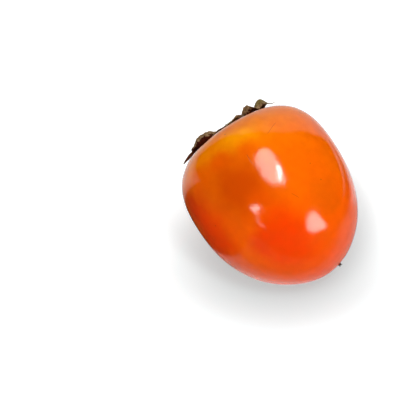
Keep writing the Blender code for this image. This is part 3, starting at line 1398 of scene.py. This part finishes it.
@dataclass(frozen=True)
class CalyxPad:
    """The squarish middle of the calyx, with a raised rim and radial folds."""

    half_width: float = 0.0071
    thickness: float = 0.0021
    squareness: float = 3.4
    gap: float = 0.00012
    rim_place: float = 0.74
    rim_spread: float = 0.15
    rim_rise: float = 0.00075
    hub_spread: float = 0.30
    hub_rise: float = 0.0005
    fold_place: float = 0.80
    fold_spread: float = 0.20
    fold_rise: float = 0.00013
    fold_count: float = 16.0
    hairy_from: float = 0.55
    rings: int = 46
    spokes: int = 144

    def outline(self, turn: np.ndarray) -> np.ndarray:
        """Distance of the pad's edge from the axis.

        Args:
            turn: Turns from the first sepal, in radians.

        Returns:
            The distances, in metres.
        """
        power = self.squareness
        norm = (np.abs(np.cos(turn)) ** power + np.abs(np.sin(turn)) ** power) ** (1.0 / power)
        return self.half_width / norm * (1.0 + 0.02 * np.sin(turn * 7.0 + 1.0))

    def build(self, fruit: LyingFruit, material: bpy.types.Material) -> bpy.types.Object:
        """Make the pad, with its fold and hairy attributes.

        Args:
            fruit: The fruit in whose dimple it sits.
            material: Its finish.

        Returns:
            The closed pad.
        """
        angle = np.arange(self.spokes) * (2.0 * math.pi / self.spokes)
        bow = np.linspace(0.0, math.pi, self.rings + 2)[1:-1]
        bow, turn = np.meshgrid(bow, angle, indexing="ij")
        share = np.sin(bow) ** 0.8
        reach = self.outline(turn) * share
        x = reach * np.cos(turn + fruit.rule.lobe_turn)
        y = reach * np.sin(turn + fruit.rule.lobe_turn)
        upper = bow < math.pi / 2.0
        height = np.where(upper, 0.5 + 0.5 * np.cos(bow) ** 0.55 * np.sign(np.cos(bow)), 0.5)
        height = np.where(upper, height, 0.5 - 0.5 * np.abs(np.cos(bow)) ** 0.55)
        folds = np.cos(turn * self.fold_count + 1.5 * np.sin(turn * 3.0))
        folds = folds * hump(share, self.fold_place, self.fold_spread)
        rim = hump(share, self.rim_place, self.rim_spread) * self.rim_rise
        hub = hump(share, 0.0, self.hub_spread) * self.hub_rise
        raised = np.where(upper, rim + hub + folds * self.fold_rise, 0.0)
        z = fruit.top(x, y) + self.gap + self.thickness * height + raised
        body = np.stack([x, y, z], axis=-1).reshape(-1, 3)
        top = fruit.stem_seat(self.gap + self.thickness + self.hub_rise)
        points = fruit.to_world(np.concatenate([body, [top, fruit.stem_seat(self.gap)]]))
        faces = closed_faces(self.rings, self.spokes, len(body), len(body) + 1)
        # The fold attribute marks the valleys of the folds, where the pad's finish paints shade.
        fold = np.append(np.clip(-folds, 0.0, 1.0) * upper, [0.0, 0.0])
        hairy = np.append(upper & (share > self.hairy_from), [0.0, 0.0])
        piece = finished_piece("calyx_pad", points, faces, material, {"fold": fold, "hairy": hairy})
        return facing_out(piece)


@dataclass(frozen=True)
class HairFinish:
    """Fine dry hairs, pale tan."""

    root: tuple = rgb(0.20, 0.13, 0.06)
    end: tuple = rgb(0.46, 0.36, 0.20)
    patch_size: float = 0.0008

    def build(self, effects: Effects) -> bpy.types.Material:
        """The hairs' material, varied from place to place.

        Args:
            effects: The shared shader groups.

        Returns:
            The material.
        """
        paint = Paint("dry_hair", {"IOR": 1.5, "Specular IOR Level": 0.3})
        shade = effects.mottled(paint, self.patch_size, 1.6, 0.2)
        colour = paint.graph.mix(shade, self.root, self.end)
        return paint.wear(Base_Color=colour, Roughness=paint.graph.ramp(shade, 0.0, 1.0, 0.6, 0.85))


@dataclass(frozen=True)
class Hairs:
    """Short hairs scattered over the part of a piece where its hairy attribute is set."""

    length: float = 0.0009
    radius: float = 0.00003
    per_square_metre: float = 3.6e6
    lean: float = 0.9
    sides: int = 5
    shortest: float = 0.45
    longest: float = 1.2
    seed: int = 11

    def inputs(self) -> dict[str, float]:
        """The tree's named inputs."""
        return {"Length": self.length, "Radius": self.radius, "Density": self.per_square_metre,
                "Lean": self.lean, "Seed": float(self.seed)}

    def tree(self, material: bpy.types.Material) -> bpy.types.NodeTree:
        """The Geometry Nodes tree that scatters them.

        Args:
            material: Set on the hairs.

        Returns:
            The tree.
        """
        ports = {"Skin": None} | self.inputs()
        graph, given, leave = new_group(
            "Fine Hairs", "GeometryNodeTree", ports, {"Geometry": "NodeSocketGeometry"}
        )
        where = graph.node("GeometryNodeInputNamedAttribute", {"Name": "hairy"}, data_type="FLOAT")
        scatter = graph.node("GeometryNodeDistributePointsOnFaces", {
            "Mesh": given["Skin"], "Density": given["Density"] * graph.out(where), "Seed": given["Seed"],
        })
        cone = graph.node("GeometryNodeMeshCone", {
            "Vertices": self.sides, "Side Segments": 3, "Radius Top": given["Radius"] * 0.25,
            "Radius Bottom": given["Radius"], "Depth": given["Length"],
        })
        spread = graph.node(
            "FunctionNodeRandomValue",
            {0: (-1.0, -1.0, -1.0), 1: (1.0, 1.0, 1.0), "Seed": given["Seed"]}, data_type="FLOAT_VECTOR",
        )
        side = graph.scaled(graph.out(spread), given["Lean"])
        lean = graph.vector_math("ADD", graph.out(scatter, "Normal"), side)
        aim = graph.node("FunctionNodeAlignRotationToVector", {"Vector": lean}, axis="Z")
        size = graph.node(
            "FunctionNodeRandomValue",
            {2: self.shortest, 3: self.longest, "Seed": given["Seed"] + 3.0}, data_type="FLOAT",
        )
        planted = graph.node("GeometryNodeInstanceOnPoints", {
            "Points": graph.out(scatter, "Points"), "Instance": graph.out(cone, "Mesh"),
            "Rotation": graph.out(aim), "Scale": graph.out(size, 1),
        })
        graph.dress(graph.out(planted), material, leave)
        return graph.tree

    def build(self, name: str, host: bpy.types.Object, material: bpy.types.Material) -> bpy.types.Object:
        """Grow the hairs on a host piece.

        Args:
            name: The new piece's name.
            host: The piece that they grow on.
            material: Their finish.

        Returns:
            The hairs as an object with a plain mesh.
        """
        mesh = host.data.copy()
        mesh.materials.clear()
        return plain_mesh(grow(name, mesh, self.tree(material), self.inputs(), material))


# The stem stub and the style's remnant ------------------------------------------------


@dataclass(frozen=True)
class BarkFinish:
    """Dry stem bark, near black with olive in it, and a pale fibrous cut end."""

    name: str
    dark: tuple
    light: tuple
    cut: tuple
    fineness: float = 4.0
    blotch_size: float = 0.0020
    speck_spacing: float = 0.0008
    speck_radius: float = 0.00014
    relief: float = 0.00014

    def build(self, effects: Effects) -> bpy.types.Material:
        """The material, which reads the piece's own attributes.

        Args:
            effects: The shared shader groups.

        Returns:
            The material.
        """
        paint = Paint(self.name, {"IOR": 1.45, "Specular IOR Level": 0.4})
        graph = paint.graph
        grain = graph.vector(*(paint.attribute(name) for name in ("around_x", "around_y", "along")))
        streaks = effects.use(graph, effects.fibre, Place=grain, Fineness=self.fineness, Stretch=0.45)
        blotch = effects.mottled(paint, self.blotch_size, 1.3, 0.5)
        specks = effects.specked(paint, self.speck_spacing, self.speck_radius, 0.3)
        colour = graph.mix(streaks * 0.6 + blotch * 0.4, self.dark, self.light)
        colour = graph.mix(specks * 0.5, colour, self.cut)
        bare = graph.ramp(paint.attribute("bare") + (streaks - 0.5) * 0.3, 0.35, 0.65)
        colour = graph.mix(bare, colour, self.cut)
        colour = graph.mix(bare * blotch * 0.5, colour, self.dark)
        return paint.wear(
            Base_Color=colour,
            Roughness=graph.ramp(streaks, 0.0, 1.0, 0.55, 0.82),
            Normal=graph.bump(streaks * 0.7 + specks * 0.3, self.relief),
        )


@dataclass(frozen=True)
class StemStub:
    """The short stalk that bends over towards the far sepal, cut across at its end.

    A cut ring is a share of the end's width and a rise.  The band is a share of the width, a
    place along the stub and a spread.  A scar is a place along it, a spread and a turn.
    """

    radius: float = 0.0020
    length: float = 0.0046
    lean: float = 58.0
    seat: float = 0.0012
    hidden: float = 0.0011
    cut_rings: tuple = (
        (0.93, 0.00010), (0.80, 0.00006), (0.62, -0.00012), (0.42, -0.00004), (0.20, -0.00022)
    )
    foot_swell: float = 0.55
    end_swell: float = 0.13
    band: tuple = (0.05, 0.62, 0.05)
    scars: tuple = ((0.80, 0.035, 2.0), (0.70, 0.030, 3.9))
    cut_roughness: float = 0.00007
    cut_hollow: float = 0.0002
    rows: int = 60
    spokes: int = 64

    def route(self, fruit: LyingFruit) -> tuple[np.ndarray, np.ndarray]:
        """The stub's middle line.

        Args:
            fruit: The fruit that it stands on.

        Returns:
            Its points and its directions, in the fruit's own frame.
        """
        away = np.array([-math.sin(fruit.rule.lobe_turn), math.cos(fruit.rule.lobe_turn), 0.0])
        up = np.array([0.0, 0.0, 1.0])
        place = fruit.stem_seat(self.seat)
        step = (self.length + self.hidden) / (self.rows - 1)
        points, directions = [], []
        for row in range(self.rows):
            lean = math.radians(self.lean) * (row / (self.rows - 1)) ** 1.2
            direction = away * math.sin(lean) + up * math.cos(lean)
            points.append(place.copy())
            directions.append(direction)
            place = place + direction * step
        return np.array(points), np.array(directions)

    def build(self, fruit: LyingFruit, material: bpy.types.Material) -> bpy.types.Object:
        """Make the stub: knotted sides with two scars, and a rough cut end.

        Args:
            fruit: The fruit that it stands on.
            material: Its finish.

        Returns:
            The closed stub.
        """
        points, directions = self.route(fruit)
        angle = np.arange(self.spokes) * (2.0 * math.pi / self.spokes)
        sideways = np.array([math.cos(fruit.rule.lobe_turn), math.sin(fruit.rule.lobe_turn), 0.0])
        rings, bare, along = [], [], []
        for row, (middle, direction) in enumerate(zip(points, directions)):
            share = row / (self.rows - 1)
            other = np.cross(direction, sideways)
            swell = 1.0 + self.foot_swell * math.exp(-share * 9.0) + self.end_swell * share**2
            knots = 0.055 * np.cos(angle * 5.0 + 1.3 * share) + 0.03 * np.cos(angle * 13.0 + 4.0 * share)
            height, place, spread = self.band
            reach = self.radius * swell * (1.0 + knots + height * hump(share, place, spread))
            arm = np.outer(np.cos(angle) * reach, sideways) + np.outer(np.sin(angle) * reach, other)
            rings.append(middle + arm)
            scar = sum(hump(share, place, spread) * np.clip(np.cos(angle - turn), 0.0, 1.0)
                       for place, spread, turn in self.scars)
            bare.append(np.clip(scar, 0.0, 1.0))
            along.append(np.full(self.spokes, share))
        edge, centre, direction = rings[-1], points[-1], directions[-1]
        for size, rise in self.cut_rings:
            rough = self.cut_roughness * np.cos(angle * 9.0 + size * 20.0)
            rings.append(centre + (edge - centre) * size + np.outer(rise + rough, direction))
            bare.append(np.ones(self.spokes))
            along.append(np.full(self.spokes, 1.0 + (1.0 - size)))
        sides = np.concatenate(rings)
        body = np.concatenate([sides, [centre - direction * self.cut_hollow, points[0]]])
        faces = closed_faces(len(rings), self.spokes, len(sides) + 1, len(sides))
        around = np.tile(angle, len(rings))
        values = {
            "along": np.append(along, [2.0, 0.0]),
            "around_x": np.append(np.cos(around), [0.0, 0.0]),
            "around_y": np.append(np.sin(around), [0.0, 0.0]),
            "bare": np.append(bare, [1.0, 0.0]),
        }
        return facing_out(finished_piece("stem_stub_bark", fruit.to_world(body), faces, material, values))


@dataclass(frozen=True)
class StyleTip:
    """The dry remnant of the style: a short cone that splits into four curled points."""

    height: float = -0.975
    turn: float = 50.0
    radius: float = 0.00085
    length: float = 0.0013
    sunk: float = 0.0002
    points: int = 4
    point_turn: float = 0.4
    point_radius: float = 0.34
    point_flare: float = 0.55
    taper: float = 0.78
    ridge: float = 0.14
    spokes: int = 24
    rows: int = 14

    def build(self, fruit: LyingFruit, material: bpy.types.Material) -> bpy.types.Object:
        """Make the remnant: a stout middle and four thin points.

        Args:
            fruit: The fruit that it grows on.
            material: Its finish.

        Returns:
            The remnant, a mesh of closed cones.
        """
        foot = fruit.spot(self.height, self.turn)
        outward = fruit.outward(self.height, self.turn)
        side = outward.orthogonal().normalized()
        other = outward.cross(side)
        points, faces, along = [], [], []
        parts = [(0.0, 0.0, self.radius, self.length * 0.75, 0.0)]
        for index in range(self.points):
            turn = index * 2.0 * math.pi / self.points + self.point_turn
            thin = self.radius * self.point_radius
            parts.append((math.cos(turn), math.sin(turn), thin, self.length, self.point_flare))
        for ax, ay, radius, length, flare in parts:
            start = len(points)
            lean = side * ax + other * ay
            for row in range(self.rows):
                share = row / (self.rows - 1)
                middle = foot + outward * (length * share - self.sunk)
                middle += lean * self.radius * (0.35 + flare * share**2 * 1.6)
                reach = radius * (1.0 - self.taper * share**1.4) * (1.25 - 0.25 * min(1.0, share * 4.0))
                for spoke in range(self.spokes):
                    angle = spoke * 2.0 * math.pi / self.spokes
                    ridge = 1.0 + self.ridge * math.cos(angle * 4.0 + share * 3.0)
                    arm = side * math.cos(angle) + other * math.sin(angle)
                    points.append(middle + arm * reach * ridge)
                    along.append(share)
            faces += grid_faces(self.rows, self.spokes, start=start, wrap=True)
            faces.append(tuple(start + spoke for spoke in reversed(range(self.spokes))))
            top = start + (self.rows - 1) * self.spokes
            faces.append(tuple(top + spoke for spoke in range(self.spokes)))
        angle = np.tile(np.arange(self.spokes) * 2.0 * math.pi / self.spokes, self.rows * len(parts))
        values = {
            "along": np.array(along), "around_x": np.cos(angle), "around_y": np.sin(angle),
            "bare": np.zeros(len(points)),
        }
        corners = np.array([tuple(point) for point in points])
        return facing_out(finished_piece("style_remnant", corners, faces, material, values))


# The studio ---------------------------------------------------------------------------


@dataclass(frozen=True)
class Viewpoint:
    """The camera: where it looks from, and how far the fruit is from the view's centre."""

    azimuth: float = 47.35
    elevation: float = 33.0
    distance: float = 0.5712
    lens: float = 108.0
    aside: float = -0.0339
    above: float = -0.0039

    def axes(self) -> tuple[Vector, Vector, Vector]:
        """The view's own directions.

        Returns:
            Three unit vectors: right, up and back towards the camera.
        """
        turn, rise = math.radians(self.azimuth), math.radians(self.elevation)
        right = Vector((math.cos(turn), math.sin(turn), 0.0))
        ahead = Vector((math.sin(turn), -math.cos(turn), 0.0))
        back = ahead * math.cos(rise) + Vector((0.0, 0.0, math.sin(rise)))
        return right, back.cross(right), back

    def build(self) -> bpy.types.Object:
        """Place the camera, and make it the active one.

        Returns:
            The camera object.
        """
        low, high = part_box("fruit_body")
        right, up, back = self.axes()
        target = (Vector(low) + Vector(high)) / 2.0 + right * self.aside + up * self.above
        camera = add_object("camera", bpy.data.cameras.new("camera"))
        camera.data.lens = self.lens
        camera.location = target + back * self.distance
        camera.rotation_euler = back.to_track_quat("Z", "Y").to_euler()
        bpy.context.scene.camera = camera
        return camera


@dataclass(frozen=True)
class LightCard:
    """A flat glowing card; its corners are directions from the fruit, seen from the camera's side.

    A corner is (azimuth, elevation): 0 is towards the camera, positive is to its right.
    """

    name: str
    corners: tuple
    glow: float
    distance: float = 0.9
    in_gloss: bool = True
    in_soft_light: bool = True
    softness: float = 0.25

    def build(self, view: Viewpoint, centre: Vector) -> bpy.types.Object:
        """Make the card as a stage mesh, unseen by the camera.

        Args:
            view: The camera's place, which the corners are told from.
            centre: The fruit's middle.

        Returns:
            The card.
        """
        right, _, back = view.axes()
        forward = Vector((back.x, back.y, 0.0)).normalized()
        points = []
        for azimuth, elevation in self.corners:
            turn, rise = math.radians(azimuth), math.radians(elevation)
            flat = forward * math.cos(turn) + right * math.sin(turn)
            arm = flat * math.cos(rise) + Vector((0.0, 0.0, math.sin(rise)))
            points.append(centre + arm * self.distance)
        count = len(points)
        middle = sum(points, Vector()) / count
        inner = [point.lerp(middle, self.softness) for point in points]
        faces = [tuple(range(count, 2 * count))]
        for here in range(count):
            after = (here + 1) % count
            faces.append((here, after, count + after, count + here))
        mesh = bpy.data.meshes.new(self.name)
        mesh.from_pydata(points + inner, [], faces)
        mesh.materials.append(self._material())
        levels = mesh.attributes.new("level", "FLOAT", "POINT")
        levels.data.foreach_set("value", [0.0] * count + [1.0] * count)
        card = add_object(self.name, mesh)
        card.visible_camera = False
        card.visible_shadow = False
        card.visible_glossy = self.in_gloss
        card.visible_diffuse = self.in_soft_light
        return card

    def _material(self) -> bpy.types.Material:
        """The card's glow, which fades over its border.

        Returns:
            The emission material.
        """
        material = bpy.data.materials.new(self.name)
        material.use_nodes = True
        graph = Graph(material.node_tree)
        graph.tree.nodes.clear()
        level = graph.out(graph.node("ShaderNodeAttribute", attribute_name="level"), "Fac")
        lamp = graph.node("ShaderNodeEmission", {"Color": WHITE, "Strength": level * self.glow})
        graph.feed(graph.node("ShaderNodeOutputMaterial").inputs["Surface"], graph.out(lamp))
        return material


@dataclass(frozen=True)
class FloorFinish:
    """Pale matt floor, lifted to white for the camera.

    The skin's gloss finds a small table instead: pale near the fruit, greyer in front, and dark
    beyond its edges and where a neighbour would stand on the left.  A pair of numbers is the
    start and the end of a change, in metres but for the cast shade's own fade.
    """

    tone: float = 0.86
    lift: float = 0.50
    # Painted light: a tint that takes the skin's orange bounce light out of the floor near the fruit, for
    # the camera.
    counter_tint: tuple = (0.60, 0.97, 1.0)
    far_lift: float = 1.0
    tint_start: float = 0.017
    tint_fade: float = 0.024
    bounce: float = 0.82
    shade: float = 0.28
    shade_start: float = 0.018
    shade_end: float = 0.085
    cast_shade: float = 0.36
    cast_middle: float = 0.055
    cast_half_width: float = 0.068
    cast_half_length: float = 0.085
    near_tone: float = 0.50
    open_tone: float = 0.95
    foot_glow: float = 0.45
    front_tone: float = 0.13
    dark_tone: float = 0.02
    open_shade: float = 0.95
    edge_left: float = 0.155
    edge_right: float = 0.056
    edge_turn: tuple = (-0.10, 0.05)
    edge_blur: tuple = (-0.004, 0.004)
    side_edge: tuple = (0.115, 0.235)
    side_behind: tuple = (-0.50, -0.25)
    neighbour_edge: tuple = (0.036, 0.042)
    neighbour_behind: tuple = (-0.056, -0.044)
    slant_from: float = 0.03
    slant: float = 0.4
    front_span: tuple = (0.030, 0.044)
    open_span: tuple = (-0.080, -0.055)
    foot_span: tuple = (0.018, 0.040)
    glow_span: tuple = (0.016, 0.030)
    lift_span: tuple = (0.15, 0.9)
    cast_fade: tuple = (0.6, 1.0)
    cast_flank: tuple = (-0.02, 0.045)

    def build(self, view: Viewpoint) -> bpy.types.Material:
        """The floor's material, laid out in the camera's own directions.

        Args:
            view: The camera's place.

        Returns:
            The material.
        """
        paint = Paint("pale_floor", {"Roughness": 0.9, "Specular IOR Level": 0.1, "Emission Strength": 1.0})
        graph = paint.graph
        right, _, back = view.axes()
        aside = graph.measure("DOT_PRODUCT", paint.place, right)
        reach = graph.measure("DOT_PRODUCT", paint.place, Vector((back.x, back.y, 0.0)).normalized())
        away = graph.measure("LENGTH", paint.place)
        table = self._table(graph, aside, reach, away)
        rays = graph.node("ShaderNodeLightPath")
        seen, gloss = graph.out(rays, "Is Camera Ray"), graph.out(rays, "Is Glossy Ray")
        white = graph.noise(paint.place, 3.0) * 0.01 + self.tone
        shaded = self._shaded(graph, white, aside, reach, away)
        white = white * self.bounce * (1.0 - seen) + shaded * seen
        # Painted light: near the fruit the camera sees the floor tinted against the orange light that the
        # skin bounces onto it.
        tint = graph.math("MINIMUM", graph.exp((self.tint_start - away) / self.tint_fade), 1.0) * seen
        parts = [
            white * (1.0 - tint * (1.0 - part)) * (1.0 - gloss) + table * gloss
            for part in self.counter_tint
        ]
        lift = seen * graph.ramp(away, *self.lift_span, self.lift, self.far_lift)
        lift = lift + gloss * graph.ramp(away, *self.glow_span, self.foot_glow, 0.0)
        return paint.wear(Base_Color=graph.vector(*parts), Emission_Color=graph.vector(lift, lift, lift))

    def _table(self, graph: Graph, aside: Signal, reach: Signal, away: Signal) -> Signal:
        """Tone of the small table that the skin's gloss finds.

        Args:
            graph: The material's graph.
            aside: Place to the camera's right.
            reach: Place towards the camera.
            away: Distance from the fruit's foot.

        Returns:
            The tone.
        """
        edge = graph.ramp(aside, *self.edge_turn, self.edge_left, self.edge_right)
        front = graph.ramp(reach - edge, *self.edge_blur)
        side = graph.ramp(aside, *self.side_edge) * graph.ramp(reach, *self.side_behind)
        slant = graph.math("MAXIMUM", reach - self.slant_from, 0.0) * self.slant
        neighbour = graph.ramp(-aside - slant, *self.neighbour_edge)
        neighbour = neighbour * graph.ramp(reach, *self.neighbour_behind)
        dark = graph.math("MAXIMUM", graph.math("MAXIMUM", front, side), neighbour)
        tone = graph.ramp(reach, *self.front_span, self.near_tone, self.front_tone)
        open_floor = graph.ramp(reach, *self.open_span, 1.0, 0.0)
        foot = graph.ramp(away, *self.foot_span, 1.0, 0.0)
        tone = tone + graph.math("MAXIMUM", open_floor, foot) * (self.open_tone - self.near_tone)
        return tone * (1.0 - dark) + dark * self.dark_tone

    def _shaded(self, graph: Graph, white: Signal, aside: Signal, reach: Signal, away: Signal) -> Signal:
        """Tone that the camera sees: the floor with the fruit's soft shade and cast shade.

        Args:
            graph: The material's graph.
            white: Tone of the bare floor.
            aside: Place to the camera's right.
            reach: Place towards the camera.
            away: Distance from the fruit's foot.

        Returns:
            The tone.
        """
        shaded = white * graph.ramp(away, self.shade_start, self.shade_end, self.shade, self.open_shade)
        oval = graph.vector(
            aside / self.cast_half_width, (reach + self.cast_middle) / self.cast_half_length, 0.0
        )
        cast = graph.ramp(graph.measure("LENGTH", oval), *self.cast_fade, 1.0, 0.0)
        cast = cast * graph.ramp(aside, *self.cast_flank)
        return shaded * (1.0 - cast * (1.0 - self.cast_shade))


@dataclass(frozen=True)
class Studio:
    """Pale floor, cards of light, white walls behind the fruit and a dim surround."""

    floor_radius: float = 4.0
    floor_corners: int = 96
    floor_level: float = -0.0001
    fill: float = 0.48
    cards: tuple = (
        LightCard(
            "overhead_card",
            ((-24, 71), (-8, 74), (14, 71), (24, 57), (25, 49), (14, 41), (-4, 39), (-16, 45), (-24, 58)),
            8.7,
        ),
        LightCard(
            "hot_card", ((19, 62), (22, 56), (18, 48), (8, 43), (4, 46), (13, 54)),
            43.0, 0.88, softness=0.40,
        ),
        LightCard(
            "left_card", ((-28, 17), (-22, 21), (-17, 20), (-17, 16), (-24, 10), (-30, 12)),
            12.5, softness=0.45,
        ),
        LightCard(
            "left_tail_card", ((-24, 12), (-20, 14), (-18, 6), (-12, 1), (-17, 0), (-23, 4)),
            2.2, 0.22, in_soft_light=False,
        ),
        LightCard(
            "right_card",
            ((32, 14), (39, 17), (45, 16), (56, -4), (53, -7), (45, -5), (39, -7), (31, -4), (28, 2)),
            9.5, 0.22, in_soft_light=False, softness=0.4,
        ),
        LightCard("right_soft_card", ((30, 20), (58, 20), (60, 3), (28, 3)), 5.7, in_gloss=False),
        LightCard(
            "left_wall", ((-141, -4), (-141, 28), (-129, 53), (-165, 77), (-172, -4)),
            0.42, 3.0, softness=0.02,
        ),
        LightCard(
            "right_wall", ((-172, -4), (-165, 77), (160, 83), (119, 56), (135, 17), (145, -4)),
            0.62, 3.0, softness=0.02,
        ),
    )

    def build(self, view: Viewpoint, centre: Vector) -> None:
        """Set up the whole studio round the fruit.

        Args:
            view: The camera's place.
            centre: The fruit's middle.
        """
        self._floor(view)
        self._world()
        for card in self.cards:
            card.build(view, centre)
        bpy.context.scene.view_settings.view_transform = "Standard"

    def _floor(self, view: Viewpoint) -> None:
        """Lay a wide pale disc under the fruit.

        Args:
            view: The camera's place.
        """
        turns = np.linspace(0.0, 2.0 * math.pi, self.floor_corners, endpoint=False)
        radius = self.floor_radius
        rim = [(math.cos(turn) * radius, math.sin(turn) * radius, self.floor_level) for turn in turns]
        mesh = bpy.data.meshes.new("floor")
        mesh.from_pydata(rim, [], [tuple(range(len(rim)))])
        mesh.materials.append(FloorFinish().build(view))
        add_object("floor", mesh)

    def _world(self) -> None:
        """Surround the scene: white for the camera, dark for gloss, and a soft fill for the rest."""
        world = bpy.data.worlds.new("surround")
        bpy.context.scene.world = world
        world.use_nodes = True
        world.node_tree.nodes.clear()
        graph = Graph(world.node_tree)
        rays = graph.node("ShaderNodeLightPath")
        level = (1.0 - graph.out(rays, "Is Glossy Ray")) * self.fill
        level = graph.math("MAXIMUM", level, graph.out(rays, "Is Camera Ray"))
        glow = graph.node("ShaderNodeBackground", {"Color": WHITE, "Strength": level})
        graph.feed(graph.node("ShaderNodeOutputWorld").inputs["Surface"], graph.out(glow))


# The whole fruit ----------------------------------------------------------------------


SEPALS = (
    Sepal("sepal_right", 0.0, 0.0244, 2.0, 1.9, seed=1.7, lump=0.0040, hood=1.7, tip_from=0.84,
          tip_lift=0.0020, bend=0.0010, tip_width=0.0014, pale=1.0),
    Sepal("sepal_far", 91.0, 0.0243, 1.9, 2.3, seed=5.2, arch=0.0010, tip_lift=0.0016, bend=-0.0008,
          tip_from=0.86, pale=0.3),
    Sepal("sepal_left", 180.0, 0.0262, 2.4, 2.4, seed=9.4, tip_lift=0.0016, bend=0.0028, tip_from=0.72,
          tip_width=0.0038, twist=0.8, waviness=0.03, crumple=0.00022, roll_after=-0.20, start=0.0046,
          half_width=0.0096),
    Sepal("sepal_near", 274.0, 0.0196, 1.5, 0.35, seed=13.1, arch=0.0001, tip_lift=0.0002, bend=0.0010,
          tip_from=0.90, half_width=0.0074, crumple=0.00075, pleat=0.00040, pale=1.0),
)


# Rise of the stem's foot over the floor of the dimple.
STEM_FOOT = 0.002
STEM_BARK = BarkFinish(
    "stem_bark",
    dark=rgb(0.016, 0.012, 0.008), light=rgb(0.075, 0.060, 0.030), cut=rgb(0.36, 0.28, 0.16),
)
DRY_STYLE = BarkFinish(
    "dry_style",
    dark=rgb(0.010, 0.006, 0.004), light=rgb(0.060, 0.032, 0.016), cut=rgb(0.10, 0.06, 0.03),
)


def main() -> None:
    """Build the studio, then each part of the fruit, and hang it on the frame."""
    logging.basicConfig(level=logging.INFO, format="%(name)s: %(message)s")
    effects = Effects()
    fruit = LyingFruit(SkinRule())
    view = Viewpoint()
    view.build()
    Studio().build(view, fruit.centre)

    skin = FruitSkin().build(fruit, SkinFinish().build(effects, fruit))
    install(skin, Slot.SKIN, "fruit_body")

    leather = CalyxFinish().build(effects)
    for sepal in SEPALS:
        install(sepal.build(fruit, leather), Slot.CALYX, sepal.name)
    stem_foot = Vector(fruit.to_world(fruit.stem_seat(STEM_FOOT)))
    pad = CalyxPad().build(fruit, PadFinish().build(effects, stem_foot))
    install(pad, Slot.CALYX, "calyx_disc")
    hairs = Hairs().build("calyx_hairs", pad, HairFinish().build(effects))
    install(hairs, Slot.CALYX)

    install(StemStub().build(fruit, STEM_BARK.build(effects)), Slot.STEM, "stem_stub")
    install(StyleTip().build(fruit, DRY_STYLE.build(effects)), Slot.STYLE, "style_tip")


if __name__ == "__main__":
    main()
